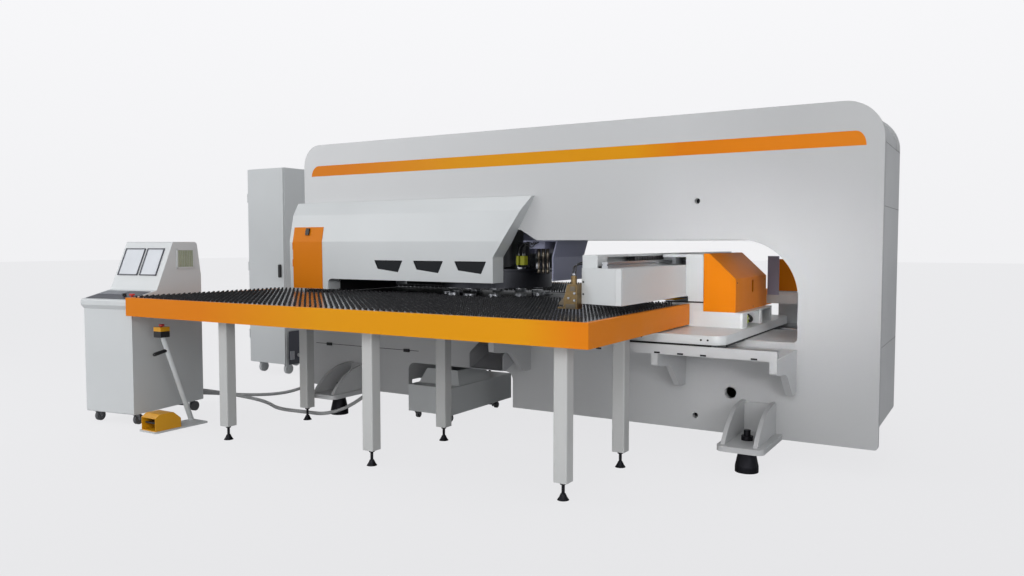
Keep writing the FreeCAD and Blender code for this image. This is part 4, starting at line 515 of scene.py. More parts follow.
# ---- conduits -------------------------------------------------------------------------------------
CONDUIT_RADIUS = 0.014
CONDUIT_RIB = 0.007          # distance from one rib of the conduit to the next
CONDUIT_SIDES = 12
RIB_POINTS, RIB_GROOVE = 3, 0.9            # rings of points to a rib, and radius share in a groove
CONDUIT_ROUTES = {
    "conduit_1": [
        (-5.007, -0.681, 0.150), (-5.052, -0.420, 0.084), (-4.870, -0.215, 0.014),
        (-4.620, -0.290, 0.014), (-4.380, -0.420, 0.014), (-4.100, -0.400, 0.014),
        (-3.850, -0.400, 0.020), (-3.697, -0.235, 0.100), (-3.690, -0.024, 0.200),
    ],
    "conduit_2": [
        (-5.076, -0.692, 0.120), (-5.135, -0.425, 0.070), (-5.040, -0.130, 0.014),
        (-4.840, 0.075, 0.014), (-4.700, 0.230, 0.070), (-4.605, 0.345, 0.200),
        (-4.488, 0.420, 0.330),
    ],
    "conduit_3": [
        (-5.606, 1.000, 0.200), (-5.345, 0.965, 0.120), (-5.080, 0.840, 0.014),
        (-4.850, 0.640, 0.014), (-4.720, 0.520, 0.110), (-4.605, 0.470, 0.250),
        (-4.488, 0.470, 0.400),
    ],
}
CONDUIT_NUT = ((-0.002, 0.0225), (0.012, 0.0225), (0.013, 0.019), (0.026, 0.018))
NUT_REACH = 0.012            # from the conduit's end out to the nut's foot


def resampled(line, step):
    """Points at equal distances along a line, with its length."""
    lengths = [0.0]
    for start, end in zip(line, line[1:]):
        lengths.append(lengths[-1] + (end - start).length)
    count = max(2, round(lengths[-1] / step))
    points = []
    index = 0
    for i in range(count + 1):
        distance = lengths[-1] * i / count
        while index < len(line) - 2 and lengths[index + 1] < distance:
            index += 1
        share = (distance - lengths[index]) / max(1e-9, lengths[index + 1] - lengths[index])
        points.append(line[index].lerp(line[index + 1], share))
    return points, lengths[-1]


def ribbed_tube(name, line, radius, look_name, body):
    """Corrugated tube around a line."""
    points, length = resampled(line, CONDUIT_RIB / RIB_POINTS)
    first = across(points[1] - points[0])[0]
    sides = CONDUIT_SIDES
    verts, faces = [], []
    for i, point in enumerate(points):
        ahead = points[min(i + 1, len(points) - 1)] - points[max(i - 1, 0)]
        ahead.normalize()
        first = (first - ahead * first.dot(ahead)).normalized()
        second = ahead.cross(first)
        rib = radius * (RIB_GROOVE if i % RIB_POINTS == 0 else 1.0)
        for j in range(sides):
            angle = 2 * math.pi * j / sides
            verts.append(point + (first * math.cos(angle) + second * math.sin(angle)) * rib)
        if i:
            low, high = (i - 1) * sides, i * sides
            for j in range(sides):
                k = (j + 1) % sides
                faces.append((low + j, low + k, high + k, high + j))
    faces.append(tuple(range(sides))[::-1])
    faces.append(tuple(range(len(verts) - sides, len(verts))))
    piece = mesh_piece(name, verts, faces, look_name, body, smooth=True)
    return piece, points, length


def add_conduits():
    """Ribbed tubes along the conduits' routes, with a nut on each end."""
    for node, route in CONDUIT_ROUTES.items():
        places = [at(*place) for place in route]
        piece, path, length = ribbed_tube(
            node + "_ribbed", line_of(places), CONDUIT_RADIUS, "conduit_grey", "machine")
        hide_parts(node)
        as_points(path)
        for letter, end, inner in (("a", places[0], places[1]), ("b", places[-1], places[-2])):
            foot = end + (end - inner).normalized() * NUT_REACH
            turned(f"{node}_nut_{letter}", [foot], inner - end, CONDUIT_NUT, "zinc", "machine", 6)


# ---- frame ----------------------------------------------------------------------------------------
STRIPE_BOTTOM, STRIPE_TOP = 1.893, 1.978
STRIPE_LEFT, STRIPE_RIGHT = -4.387, -0.096
STRIPE_LEFT_CURVE, STRIPE_RIGHT_CURVE = 0.081, 0.058       # lengths of the band's curved ends
STRIPE_SHEET = 0.0008
SEAM_HALF, SEAM_PROUD = 0.0012, 0.0001     # half a seam's height, and how far it stands out
SEAM_HEIGHTS = (1.91, 1.55, 0.74)
PANEL_SEAM, PANEL_SEAM_HALF = 0.505, 0.002
CLIP_XS, CLIP_HALF = (-4.207, -3.395), 0.026
BORE_PLACES = ((-1.076, 0.043, 1.604), (-1.073, 0.043, 0.244))
BORE_BOTTOM = ((0, 0.0178), (0.004, 0.0178), (0.006, 0.012))


def quarter(centre, radii, start, steps=8):
    """Points of a quarter ellipse in x and z."""
    points = []
    for i in range(steps + 1):
        angle = start - math.pi / 2 * i / steps
        points.append((centre[0] + radii[0] * math.cos(angle), centre[1] + radii[1] * math.sin(angle)))
    return points


def add_stripe():
    """Orange band along the frame's front, with curved ends."""
    height = STRIPE_TOP - STRIPE_BOTTOM
    left_centre = (STRIPE_LEFT + STRIPE_LEFT_CURVE, STRIPE_BOTTOM)
    right_centre = (STRIPE_RIGHT - STRIPE_RIGHT_CURVE, STRIPE_BOTTOM)
    left = quarter(left_centre, (STRIPE_LEFT_CURVE, height), math.pi)
    right = quarter(right_centre, (STRIPE_RIGHT_CURVE, height), math.pi / 2)
    outline = [at(x, 0, z) for x, z in left + right]
    slab("frame_stripe", outline, (0, -STRIPE_SHEET, 0), "orange_paint", "machine")


def add_frame_seams():
    """Joints between the sheets on the frame's end and low on its front, with the panel's clips."""
    proud = (0, SEAM_PROUD)
    limits = [(proud, (0.045, 0.74), (z - SEAM_HALF, z + SEAM_HALF)) for z in SEAM_HEIGHTS]
    limits.append((proud, (0.044, 0.048), (0.28, 1.93)))
    panel_z = (PANEL_SEAM - PANEL_SEAM_HALF, PANEL_SEAM + PANEL_SEAM_HALF)
    limits.append(((-4.36, -3.28), (-SEAM_HALF / 2, 0), panel_z))
    blocks("frame_seams", limits, "gap_and_shade_black", "machine", 0)
    clips = [((x - CLIP_HALF, x + CLIP_HALF), (-0.012, 0), (0.492, 0.516)) for x in CLIP_XS]
    blocks("panel_clips", clips, "knob_black", "machine", 0.003)


def add_bore_liners():
    """Dark bottoms of the bolt bores, which are blind on the real frame."""
    places = [at(*place) for place in BORE_PLACES]
    turned("bore_bottoms", places, (0, -1, 0), BORE_BOTTOM, "dark_steel", "machine")


# ---- hood -----------------------------------------------------------------------------------------
HOOD_WINDOWS = 3
HOOD_WINDOW_LEFT, HOOD_WINDOW_PITCH = -3.598, 0.378
PANE_LEFT, PANE_RIGHT = -0.02, 0.298       # a pane's sides, counted from its window's left side
PANE_Y, PANE_Z = (-0.1335, -0.1305), (1.10, 1.225)
CURTAIN_X, CURTAIN_PITCH = (-4.07, -3.25), 0.010
CURTAIN_Y, CURTAIN_Z = (0.858, 0.866), (0.973, 1.075)
BRISTLE_SHARE = 0.8          # share of the curtain's pitch that a bundle of bristles takes
# Black sheet on the window's left jamb: painted shade for the dark inside of the hood, seen through its
# slot and windows.
JAMB_SHADE_SHEET = ((-4.0983, -4.0962), (0.002, 0.738), (0.950, 1.340))
LATCH_X, LATCH_WIDTH = -4.3045, 0.037
LATCH_SECTION = (                          # y and z
    (-0.1378, 1.4043), (-0.1483, 1.4043), (-0.1516, 1.4084),
    (-0.1413, 1.4592), (-0.1378, 1.4618), (-0.1262, 1.4618),
)


def add_hood_details():
    """Panes behind the hood's windows, the rear slot's curtain, a black sheet on the window's jamb as
    painted shade, and the latch.
    """
    panes = []
    for i in range(HOOD_WINDOWS):
        left = HOOD_WINDOW_LEFT + i * HOOD_WINDOW_PITCH
        panes.append(((left + PANE_LEFT, left + PANE_RIGHT), PANE_Y, PANE_Z))
    blocks("hood_panes", panes, "smoked_glass", "machine", 0)
    bristles = []
    for i in range(int((CURTAIN_X[1] - CURTAIN_X[0]) / CURTAIN_PITCH)):
        left = CURTAIN_X[0] + i * CURTAIN_PITCH
        bristles.append(((left, left + CURTAIN_PITCH * BRISTLE_SHARE), CURTAIN_Y, CURTAIN_Z))
    blocks("rear_slot_bristles", bristles, "brush_black", "machine", 0)
    blocks("window_jamb_shade_sheet", [JAMB_SHADE_SHEET], "gap_and_shade_black", "machine", 0)
    outline = [at(LATCH_X - LATCH_WIDTH / 2, y, z) for y, z in LATCH_SECTION]
    slab("door_latch_plate", outline, (LATCH_WIDTH, 0, 0), "knob_black", "access_door")


# ---- brushes --------------------------------------------------------------------------------------
BRUSH_PITCH = 0.045
FRONT_SEED, REAR_SEED = 3, 4
TUFT_BOTTOM, TUFT_TOP = 0.9475, 0.9655
TUFT_LOW_RADIUS, TUFT_HIGH_RADIUS = 0.0052, 0.0070
TUFT_SIDES = 8
TUFT_LEAN, TUFT_RAGGED = 0.0015, 0.0045    # how far a tuft's top leans, and how uneven it is
TUFT_HOLLOW = 0.004
TURRET = (-2.8, 0.37)
TURRET_CLEAR = 0.49
SKIRT_CLEAR = 0.052
COLUMN_RIGHT, COLUMN_Y = -4.06, (-0.03, 0.8)       # the frame's left column, which has no tufts
FIELD_RIGHT = -1.20
FRONT_FIELD_BACK, REAR_FIELD_FRONT = 0.03, 0.84
REAR_SKIRT = 2.184
PLATE_X, PLATE_Z = (-4.758, -1.18), (0.9441, 0.947)
FRONT_PLATE_Y, REAR_PLATE_Y = (-1.402, -0.012), (0.822, 2.142)


def add_tuft(verts, faces, centre, chance):
    """One round tuft of bristles, splayed and uneven at its top."""
    sides = TUFT_SIDES
    base = len(verts)
    lean = Vector((chance.uniform(-1, 1), chance.uniform(-1, 1), 0)) * TUFT_LEAN
    for z, radius in ((TUFT_BOTTOM, TUFT_LOW_RADIUS), (TUFT_TOP, TUFT_HIGH_RADIUS)):
        for j in range(sides):
            angle = 2 * math.pi * j / sides
            offset = Vector((math.cos(angle), math.sin(angle), 0)) * radius
            place = centre + offset + Vector((0, 0, z))
            if z == TUFT_TOP:
                place += lean + Vector((0, 0, chance.uniform(-TUFT_RAGGED, 0)))
            verts.append(place)
    for j in range(sides):
        k = (j + 1) % sides
        faces.append((base + j, base + k, base + sides + k, base + sides + j))
    verts.append(centre + lean + Vector((0, 0, TUFT_TOP - TUFT_HOLLOW)))
    for j in range(sides):
        faces.append((base + sides + j, base + sides + (j + 1) % sides, base + 2 * sides))


def has_tuft(x, y):
    """Whether a place of the grid is clear of the turrets and of the frame's left column."""
    if math.dist((x, y), TURRET) < TURRET_CLEAR:
        return False
    return not (x < COLUMN_RIGHT and COLUMN_Y[0] < y < COLUMN_Y[1])


def add_brushes(name, x_limits, y_limits, seed):
    """Field of tufts on the square grid of a table."""
    chance = random.Random(seed)
    verts, faces = [], []
    columns = int((x_limits[1] - x_limits[0]) / BRUSH_PITCH)
    rows = int((y_limits[1] - y_limits[0]) / BRUSH_PITCH)
    for i in range(columns + 1):
        for j in range(rows + 1):
            x = x_limits[0] + i * BRUSH_PITCH
            y = y_limits[0] + j * BRUSH_PITCH
            if has_tuft(x, y):
                add_tuft(verts, faces, at(x, y, 0), chance)
    return mesh_piece(name, verts, faces, "brush_black", "machine")


def add_tables():
    """Brush fields on both tables, over a polished plate."""
    field = (TABLE_LEFT + SKIRT_CLEAR, FIELD_RIGHT)
    front_y = (-TABLE_REACH + SKIRT_CLEAR, FRONT_FIELD_BACK)
    rear_y = (REAR_FIELD_FRONT, REAR_SKIRT - SKIRT_CLEAR)
    front = add_brushes("brush_tufts_front", field, front_y, FRONT_SEED)
    rear = add_brushes("brush_tufts_rear", field, rear_y, REAR_SEED)
    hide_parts("brush_mats")
    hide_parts("brush_mats")
    limits = [(PLATE_X, FRONT_PLATE_Y, PLATE_Z), (PLATE_X, REAR_PLATE_Y, PLATE_Z)]
    blocks("brush_plates", limits, "brush_plate", "machine", 0.001)


# ---- console --------------------------------------------------------------------------------------
DESK_FRONT, DESK_BACK = (-0.028, 0.925), (0.24, 0.985)     # y and z of the sloping desk
SCREEN_FOOT, SCREEN_HEAD = (0.26, 1.025), (0.41, 1.35)     # y and z of the screens' slope
SCREEN_SIDES = ((0.025, 0.225), (0.247, 0.415))
SCREEN_LOW, SCREEN_HIGH = 0.075, 0.30                      # distances up the slope
SCREEN_EDGE = 0.007
EDGE_LEVEL, FACE_LEVEL = (-0.001, 0.008), (-0.001, 0.003)  # heights over the slope
DESK_PANEL = ((0.02, 0.45), (0.03, 0.235), FACE_LEVEL)
KEY_COLUMNS, KEY_ROWS = 12, 4
KEY_CORNER, KEY_PITCH = (0.035, 0.135), (0.019, 0.022)
KEY_SIZE, KEY_LEVEL = (0.015, 0.017), (0.002, 0.007)
SLATS, SLAT_PITCH, SLAT_WIDTH = 9, 0.018, 0.011
SLAT_X, SLAT_Y, SLAT_Z = (0.469, 0.4745), 0.455, (1.155, 1.285)
VENT_X, VENT_Y, VENT_Z = (0.4695, 0.476), (0.443, 0.628), (1.143, 1.297)
VENT_EDGE = 0.012


def on_slope(foot, head):
    """Places on a slope of the console: x, distance up the slope and height over it."""
    along = Vector((head[0] - foot[0], head[1] - foot[1])).normalized()
    out = Vector((-along.y, along.x))

    def place(x, up, height):
        y = foot[0] + along.x * up + out.x * height
        z = foot[1] + along.y * up + out.y * height
        return in_console(x, y, z)

    return place


def border(first, second, edge):
    """Limits along two directions of the four bars round a rectangle."""
    left, right = first
    low, high = second
    return [
        (first, (low, low + edge)), (first, (high - edge, high)),
        ((left, left + edge), second), ((right - edge, right), second),
    ]


def add_screens():
    """Two framed screens on the console's upper slope."""
    screen = on_slope(SCREEN_FOOT, SCREEN_HEAD)
    frames, panes = [], []
    for left, right in SCREEN_SIDES:
        bars = border((left, right), (SCREEN_LOW, SCREEN_HIGH), SCREEN_EDGE)
        frames += [(x, up, EDGE_LEVEL) for x, up in bars]
        pane_x = (left + SCREEN_EDGE, right - SCREEN_EDGE)
        pane_up = (SCREEN_LOW + SCREEN_EDGE, SCREEN_HIGH - SCREEN_EDGE)
        panes.append((pane_x, pane_up, FACE_LEVEL))
    blocks("screen_frames", frames, "panel_and_shade_dark", "machine", 0.001, screen)
    blocks("screens", panes, "screen_painted_reflection", "machine", 0.001, screen)


def add_desk():
    """Dark panel and keys on the console's desk."""
    desk = on_slope(DESK_FRONT, DESK_BACK)
    blocks("desk_panel", [DESK_PANEL], "panel_and_shade_dark", "machine", 0.001, desk)
    keys = []
    for i in range(KEY_COLUMNS):
        for j in range(KEY_ROWS):
            x, y = KEY_CORNER[0] + i * KEY_PITCH[0], KEY_CORNER[1] + j * KEY_PITCH[1]
            keys.append(((x, x + KEY_SIZE[0]), (y, y + KEY_SIZE[1]), KEY_LEVEL))
    blocks("desk_keys", keys, "key_grey", "machine", 0.001, desk)


def add_vent():
    """Slatted vent on the console's right side."""
    slats = []
    for i in range(SLATS):
        y = SLAT_Y + i * SLAT_PITCH
        slats.append((SLAT_X, (y, y + SLAT_WIDTH), SLAT_Z))
    blocks("vent_slats", slats, "filter_olive", "machine", 0.001, in_console)
    rim = [(VENT_X, y, z) for y, z in border(VENT_Y, VENT_Z, VENT_EDGE)]
    blocks("vent_rim", rim, "cover_paint", "machine", 0.001, in_console)


# ---- under the hood's right end -------------------------------------------------------------------
VALVE_PLATE = ((-2.455, -2.360), (0.1165, 0.1195), (1.165, 1.345))
VALVE_XS = ((-2.443, -2.424), (-2.410, -2.374))
VALVE_Y, VALVE_Z = (0.070, 0.1165), (1.182, 1.247)
FITTING_Y, FITTING_TOP = 0.092, 1.262
FITTING = ((0, 0.005), (0.012, 0.005), (0.014, 0.0035), (0.024, 0.0035))
VALVE_HOSES = (                            # x of the fitting, height of the bend, x of the far end
    (-2.434, 1.315, -2.335), (-2.400, 1.300, -2.320), (-2.384, 1.325, -2.300),
)
AIR_PIPE_XS = (-2.300, -2.262, -2.226)
AIR_PIPE = (
    (0, 0.006), (0.004, 0.013), (0.03, 0.013), (0.032, 0.009),
    (0.10, 0.009), (0.102, 0.012), (0.18, 0.012),
)


def add_throat_details():
    """Air valves, their hoses and the standing pipes beside the turrets."""
    blocks("valve_plate", [VALVE_PLATE], "dark_steel", "machine", 0.001)
    valves = [(sides, VALVE_Y, VALVE_Z) for sides in VALVE_XS]
    blocks("air_valves", valves, "valve_olive", "machine", 0.003)
    fittings = [at(x, FITTING_Y, VALVE_Z[1]) for x, bend, far in VALVE_HOSES]
    turned("valve_fittings", fittings, (0, 0, 1), FITTING, "bright_steel", "machine", 10)
    for i, (x, bend, far) in enumerate(VALVE_HOSES):
        points = [
            at(x, FITTING_Y, FITTING_TOP), at(x, FITTING_Y, bend), at(-2.37, 0.095, bend + 0.03),
            at(far, 0.100, bend), at(far + 0.02, 0.110, 1.350),
        ]
        hose(f"valve_hose_{i + 1}", points, 0.0035, "knob_black", "machine")
    feet = [at(x, 0.150, 1.120) for x in AIR_PIPE_XS]
    turned("air_pipes", feet, (0, 0, 1), AIR_PIPE, "clamp_steel", "machine", 16)


# ---- beam and clamps ------------------------------------------------------------------------------
BEAM_TOP = 1.200
END_CAP = ((-1.1995, -1.1665), (-0.9695, -0.9675), (1.0, BEAM_TOP))
CHAIN_X, CHAIN_Y, CHAIN_Z = (-1.388, -1.3445), (-0.36, 1.46), (1.2145, 1.2575)
CHAIN_PITCH, CHAIN_GAP = 0.042, 0.006
CHANNEL_SEAL = ((-1.3425, -1.3265), (-0.885, 1.60), (BEAM_TOP, BEAM_TOP + 0.010))
END_SCREWS = ((-1.422775, -0.90875, 1.054), (-1.422775, -0.90875, 1.122))
END_FACING = (-0.267, -0.964, 0)
END_SCREW = ((0, 0.0055), (0.003, 0.0055), (0.004, 0.004))
CLAMP_YS = (-0.930, 0.060, 1.050)
CLAMP_SIDE = 0.0331                        # from a clamp's middle to its front side
CLAMP_SCREWS = ((-1.450, 1.060), (-1.450, 1.020), (-1.487, 1.032))         # x and z
CLAMP_SCREW = ((0, 0.007), (0.006, 0.007), (0.007, 0.005))
CLAMP_FITTING = ((0, 0.012), (0.010, 0.012), (0.012, 0.009), (0.016, 0.009))
CLAMP_HOSE_XS, CLAMP_HOSE_RADIUS = (-1.478, -1.462), 0.0042
CLAMP_HOSE_STEP = 0.012                    # how much higher the second hose runs


def add_beam_details():
    """Cap of the casing's front end, cable chain, seal and screws."""
    blocks("beam_end_cap", [END_CAP], "cover_paint", "beam", 0.0005)
    links = []
    y = CHAIN_Y[0]
    while y < CHAIN_Y[1]:
        links.append((CHAIN_X, (y, y + CHAIN_PITCH - CHAIN_GAP), CHAIN_Z))
        y += CHAIN_PITCH
    blocks("beam_cable_chain", links, "knob_black", "beam", 0.004)
    blocks("channel_seal", [CHANNEL_SEAL], "gap_and_shade_black", "beam", 0.001)
    places = [at(*place) for place in END_SCREWS]
    turned("beam_end_screws", places, END_FACING, END_SCREW, "knob_black", "beam", 12)


def add_clamp_details():
    """Screws, plates and hose fitting on each clamp."""
    screws, plates, fittings = [], [], []
    for y in CLAMP_YS:
        side = y - CLAMP_SIDE
        screws += [at(x, side, z) for x, z in CLAMP_SCREWS]
        plates.append(((-1.505, -1.445), (side - 0.0015, side), (0.9735, 0.9995)))
        plates.append(((-1.478, -1.446), (side - 0.004, side), (1.072, 1.098)))
        fittings.append(at(-1.470, y, 1.1555))
    turned("clamp_screws", screws, (0, -1, 0), CLAMP_SCREW, "bright_steel", "beam", 12)
    blocks("clamp_plates", plates, "clamp_steel", "beam", 0.0008)
    turned("clamp_fittings", fittings, (0, 0, 1), CLAMP_FITTING, "bright_steel", "beam", 6)


def add_clamp_hoses():
    """Air hoses from each clamp's cylinder up into the cable channel."""
    for i, y in enumerate(CLAMP_YS):
        for j, x in enumerate(CLAMP_HOSE_XS):
            rise = 1.205 + CLAMP_HOSE_STEP * j
            end_z = 1.222 + CLAMP_HOSE_STEP * j
            points = [
                at(x, y, 1.155), at(x, y, rise), at(x + 0.015, y + 0.03, rise + 0.012),
                at(-1.440, y + 0.07, end_z), at(-1.4345, y + 0.075, end_z),
            ]
            hose(f"clamp_{i + 1}_hose_{j + 1}", points, CLAMP_HOSE_RADIUS, "knob_black", "beam")


# ---- saddle ---------------------------------------------------------------------------------------
SIDE_GUARD = ((-1.1645, -1.1625), (-0.968, 0.0595), (1.0, BEAM_TOP))
GUARD_FLANGE = ((-1.1645, -1.0495), (0.0565, 0.0595), (1.0, 1.252))
BEAM_SUPPORT = ((-1.300, -1.153), (0.062, 0.788), (0.905, 0.957))
SUPPORT_SEAL = ((-1.301, -1.0495), (0.0575, 0.0635), (0.957, 0.967))
WIPERS = (
    ((-1.490, -0.835), (-0.449, -0.443), (0.7415, 0.755)),
    ((-0.7715, -0.7665), (-0.375, 0.920), (0.7415, 0.755)),
)
ROOM_BACKS = (
    ((-1.049, -1.044), (0.305, 0.468), (0.810, 0.891)),
    ((-1.049, -1.044), (0.532, 0.738), (0.810, 0.891)),
)
WIRE_YS = (0.225, 0.242, 0.258)
WIRE_BENDS = (                             # x, y counted from the wire's start, z
    (-0.84, 0, 0.892), (-0.815, 0.012, 0.87), (-0.822, -0.008, 0.85),
    (-0.812, 0.014, 0.83), (-0.84, 0.004, 0.809),
)
ROOM_HOSE = (
    (-0.90, 0.345, 0.892), (-0.835, 0.355, 0.87), (-0.82, 0.375, 0.84),
    (-0.85, 0.43, 0.82), (-0.95, 0.45, 0.818),
)
SADDLE_SCREW_XS = (-1.30, -1.26, -0.895, -0.855)
SADDLE_SCREW = ((-0.002, 0.006), (0.003, 0.006), (0.004, 0.004))
# White sheet behind the cover's grip slot: painted light, standing for the light seen through the slot.
GRIP_SLOT_LIGHT = ((-0.8745, -0.8715), (0.415, 0.485), (1.000, 1.115))
COVER_SCREWS = ((0.464, 0.920), (0.085, 1.090), (0.765, 1.090))            # y and z
COVER_SCREW = ((0, 0.004), (0.002, 0.004), (0.003, 0.0025))


def add_saddle_guards():
    """Guard beside the beam, the beam's support, wipers and the backs of the saddle's rooms."""
    blocks("beam_side_guard", [SIDE_GUARD, GUARD_FLANGE], "cover_paint", "saddle", 0.0005)
    blocks("beam_support", [BEAM_SUPPORT], "cover_paint", "saddle", 0.002)
    blocks("beam_support_seal", [SUPPORT_SEAL], "gap_and_shade_black", "saddle", 0.001)
    blocks("saddle_wipers", WIPERS, "gap_and_shade_black", "saddle", 0.001)
    blocks("saddle_room_backs", ROOM_BACKS, "gap_and_shade_black", "saddle", 0)


def add_saddle_wiring():
    """Wires and a hose in the saddle's open rooms."""
    for i, start in enumerate(WIRE_YS):
        points = [at(x, start + y, z) for x, y, z in WIRE_BENDS]
        hose(f"saddle_wire_{i + 1}", points, 0.0032, "wire_green", "saddle")
    hose("saddle_hose", [at(*place) for place in ROOM_HOSE], 0.010, "knob_black", "saddle")


def add_saddle_screws():
    """Screws of the saddle's front and of its cover, and a white sheet behind the cover's grip that
    paints the light seen through its slot.
    """
    screws = [at(x, -0.4505, 0.782) for x in SADDLE_SCREW_XS]
    turned("saddle_screws", screws, (0, -1, 0), SADDLE_SCREW, "knob_black", "saddle", 12)
    blocks("cover_grip_slot_light", [GRIP_SLOT_LIGHT], "slot_light_white", "saddle", 0.001)
    studs = [at(-0.8402, y, z) for y, z in COVER_SCREWS]
    turned("cover_screws", studs, (1, 0, 0), COVER_SCREW, "knob_black", "saddle", 12)


# ---- rail beds ------------------------------------------------------------------------------------
BED_SLOT_XS, BED_SLOT_HALF = (-1.90, -1.52, -1.144, -1.003, -0.867, -0.579), 0.018
BOX_LID = ((-0.857, -0.638), (1.2335, 1.3465), (0.985, 1.2215))
BOX_SHELF = ((-0.854, -0.640), (0.880, 1.2345), (0.915, 0.975))
BOX_SCREEN = ((-0.850, -0.771), (0.880, 0.886), (0.975, 1.249))


def add_bed_details():
    """Bolt slots in the front bed's edge; lid, shelf and screen of the junction box on the rear bed."""
    slots = []
    for x in BED_SLOT_XS:
        slots.append(((x - BED_SLOT_HALF, x + BED_SLOT_HALF), (-0.4955, -0.4935), (0.693, 0.7035)))
    blocks("bed_slots", slots, "gap_and_shade_black", "machine", 0)
    blocks("junction_box_lid", [BOX_LID], "orange_paint", "machine", 0.004)
    blocks("junction_box_shelf", [BOX_SHELF], "cover_paint", "machine", 0.003)
    blocks("junction_box_screen", [BOX_SCREEN], "guard_paint", "machine", 0.001)


# ---- cabinet --------------------------------------------------------------------------------------
CABINET_RIGHT = -5.5995
# Dark plate on the cabinet's lower side: painted shade for the dark region there.
CABINET_SHADE_PLATE = ((CABINET_RIGHT, CABINET_RIGHT + 0.002), (0.872, 1.080), (0.110, 0.450))
CONNECTOR = ((CABINET_RIGHT + 0.002, CABINET_RIGHT + 0.016), (0.885, 0.935), (0.160, 0.245))


def add_cabinet_details():
    """Dark plate on the cabinet's side as painted shade, where the conduit goes in, with a connector on
    it.
    """
    blocks("cabinet_shade_plate", [CABINET_SHADE_PLATE], "panel_and_shade_dark", "machine", 0.001)
    blocks("cabinet_connector", [CONNECTOR], "key_grey", "machine", 0.002)


# ---- foot switch stand ----------------------------------------------------------------------------
STOP_BOX = (-4.630, -1.272, 0.668)         # place on the pole's head that its pieces are counted from
GRIP_RADIUS = 0.0135


def add_stand_details():
    """Two-coloured box under the stop button, and the grip on the pole."""
    x, y, z = STOP_BOX
    lid = ((x - 0.040, x + 0.040), (y - 0.044, y + 0.032), (z + 0.036, z + 0.0665))
    tub = ((x - 0.0395, x + 0.0395), (y - 0.0435, y + 0.0315), (z - 0.008, z + 0.036))
    blocks("stop_box_lid", [lid], "guard_yellow", "machine", 0.006)
    blocks("stop_box_tub", [tub], "knob_black", "machine", 0.004)
    start, end = at(x, y + 0.045, z - 0.105), at(x, y - 0.075, z - 0.130)
    run = (end - start).length
    profile = [(0, 0.010), (0.004, GRIP_RADIUS), (run - 0.004, GRIP_RADIUS), (run + 0.003, 0.009)]
    turned("pole_grip", [start], end - start, profile, "knob_black", "machine")


# ---- stage ----------------------------------------------------------------------------------------
TOP_TONE, HORIZON_TONE, BOTTOM_TONE = srgb(248, 248, 250), srgb(241, 241, 243), srgb(232, 232, 234)
TOP_SLOPE = 0.29             # upward part of the direction at the picture's upper edge
NEAR_FLOOR = 3.25            # distance of the floor at the picture's lower edge
FLOOR_REACH, FLOOR_DROP = 60, 0.001
FLOOR_GLOW = 0.90
FLOOR_SHADE, FLOOR_MATT = (0.08, 0.08, 0.08, 1), (0.62, 0.62, 0.63, 1)
SKY_COLOUR, SKY_STRENGTH = (0.95, 0.97, 1.0, 1), 0.52


def add_area(name, place, target, size, power, spread=math.pi):
    """Rectangular lamp that shines from a place to a target."""
    data = bpy.data.lights.new(name, "AREA")
    data.shape = "RECTANGLE"
    data.size, data.size_y = size
    data.energy = power
    data.spread = spread
    lamp = bpy.data.objects.new(name, data)
    lamp.location = at(*place)
    lamp.rotation_euler = (at(*target) - at(*place)).to_track_quat("-Z", "Y").to_euler()
    bpy.context.scene.collection.objects.link(lamp)


def add_lights():
    """Lamps round the machine."""
    add_area("key", (0.0, -6.8, 3.8), (-2.6, 0, 1.0), (4.0, 2.5), 120)
    add_area("fill", (-8.0, -5.0, 3.0), (-3.0, 0, 0.9), (4, 3), 94)
    add_area("right", (3.4, -5.2, 1.9), (-0.9, 0.2, 1.0), (2.4, 1.6), 58)
    add_area("window", (1.6, -3.6, 1.45), (-0.9, 0.4, 1.08), (0.5, 0.5), 1.6, spread=math.radians(22))
    add_area("low", (-1.9, -7.4, 0.5), (-2.7, 0, 0.45), (5.5, 0.8), 44)
    add_area("top", (-2.5, -1.2, 5.5), (-2.5, -0.6, 0), (7, 4), 45)


def add_world():
    """Soft light from all round; the camera itself sees a pale backdrop that fades downwards."""
    world = bpy.data.worlds.new("studio")
    bpy.context.scene.world = world
    world.use_nodes = True
    nodes, links = world.node_tree.nodes, world.node_tree.links
    nodes.clear()
    output = nodes.new("ShaderNodeOutputWorld")
    mix = nodes.new("ShaderNodeMixShader")
    ray = nodes.new("ShaderNodeLightPath")
    light = nodes.new("ShaderNodeBackground")
    light.inputs["Color"].default_value = SKY_COLOUR
    light.inputs["Strength"].default_value = SKY_STRENGTH
    seen = nodes.new("ShaderNodeBackground")
    direction = nodes.new("ShaderNodeTexCoord")
    parts = nodes.new("ShaderNodeSeparateXYZ")
    fade = nodes.new("ShaderNodeValToRGB")
    fade.color_ramp.elements[0].color = HORIZON_TONE
    fade.color_ramp.elements[1].color = TOP_TONE
    fade.color_ramp.elements[1].position = TOP_SLOPE
    links.new(direction.outputs["Generated"], parts.inputs["Vector"])
    links.new(parts.outputs["Z"], fade.inputs["Fac"])
    links.new(fade.outputs["Color"], seen.inputs["Color"])
    links.new(ray.outputs["Is Camera Ray"], mix.inputs["Fac"])
    links.new(light.outputs["Background"], mix.inputs[1])
    links.new(seen.outputs["Background"], mix.inputs[2])
    links.new(mix.outputs["Shader"], output.inputs["Surface"])


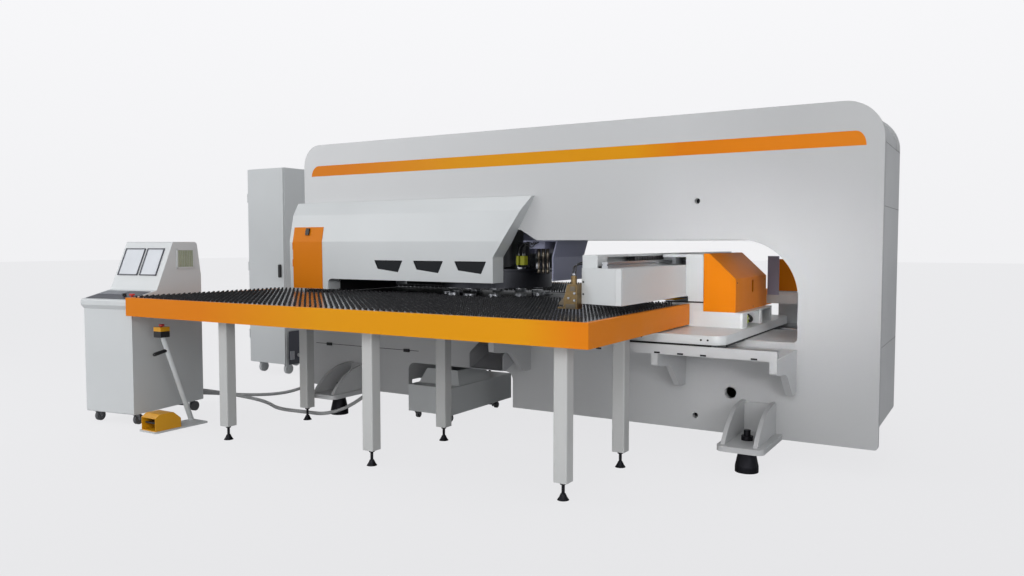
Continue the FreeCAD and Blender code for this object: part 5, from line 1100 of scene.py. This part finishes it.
def floor_look():
    """Pale floor that fades into the backdrop, shows faint shadows and reflects little light."""
    material = bpy.data.materials.new("floor")
    material.use_nodes = True
    nodes, links = material.node_tree.nodes, material.node_tree.links
    nodes.clear()
    place = nodes.new("ShaderNodeNewGeometry")
    away = nodes.new("ShaderNodeVectorMath")
    away.operation = "DISTANCE"
    away.inputs[1].default_value = at(CAMERA_PLACE[0], CAMERA_PLACE[1], 0)
    nearness = nodes.new("ShaderNodeMath")
    nearness.operation = "DIVIDE"
    nearness.inputs[0].default_value = NEAR_FLOOR
    fade = nodes.new("ShaderNodeValToRGB")
    fade.color_ramp.elements[0].color = HORIZON_TONE
    fade.color_ramp.elements[1].color = BOTTOM_TONE
    glow = nodes.new("ShaderNodeEmission")
    glow.inputs["Strength"].default_value = FLOOR_GLOW
    shade = nodes.new("ShaderNodeBsdfDiffuse")
    shade.inputs["Color"].default_value = FLOOR_SHADE
    seen = nodes.new("ShaderNodeAddShader")
    matt = nodes.new("ShaderNodeBsdfDiffuse")
    matt.inputs["Color"].default_value = FLOOR_MATT
    ray = nodes.new("ShaderNodeLightPath")
    mix = nodes.new("ShaderNodeMixShader")
    output = nodes.new("ShaderNodeOutputMaterial")
    links.new(place.outputs["Position"], away.inputs[0])
    links.new(away.outputs["Value"], nearness.inputs[1])
    links.new(nearness.outputs["Value"], fade.inputs["Fac"])
    links.new(fade.outputs["Color"], glow.inputs["Color"])
    links.new(glow.outputs["Emission"], seen.inputs[0])
    links.new(shade.outputs["BSDF"], seen.inputs[1])
    links.new(ray.outputs["Is Camera Ray"], mix.inputs["Fac"])
    links.new(matt.outputs["BSDF"], mix.inputs[1])
    links.new(seen.outputs["Shader"], mix.inputs[2])
    links.new(mix.outputs["Shader"], output.inputs["Surface"])
    return material


def add_floor():
    """Wide floor a hair under the machine."""
    data = bpy.data.meshes.new("floor")
    reach = FLOOR_REACH
    corners = [(-reach, -reach, 0), (reach, -reach, 0), (reach, reach, 0), (-reach, reach, 0)]
    data.from_pydata(corners, [], [(0, 1, 2, 3)])
    data.materials.append(floor_look())
    floor = bpy.data.objects.new("floor", data)
    floor.location.z = -FLOOR_DROP
    bpy.context.scene.collection.objects.link(floor)


# ---- the whole scene ------------------------------------------------------------------------------
add_camera()
add_conduits()
paint_cad_nodes()
add_stripe()
add_frame_seams()
add_bore_liners()
add_hood_details()
add_throat_details()
add_tables()
add_beam_details()
add_clamp_details()
add_clamp_hoses()
add_saddle_guards()
add_saddle_wiring()
add_saddle_screws()
add_bed_details()
add_cabinet_details()
add_screens()
add_desk()
add_vent()
add_stand_details()
add_floor()
add_world()
add_lights()
bpy.context.scene.view_settings.view_transform = "Standard"
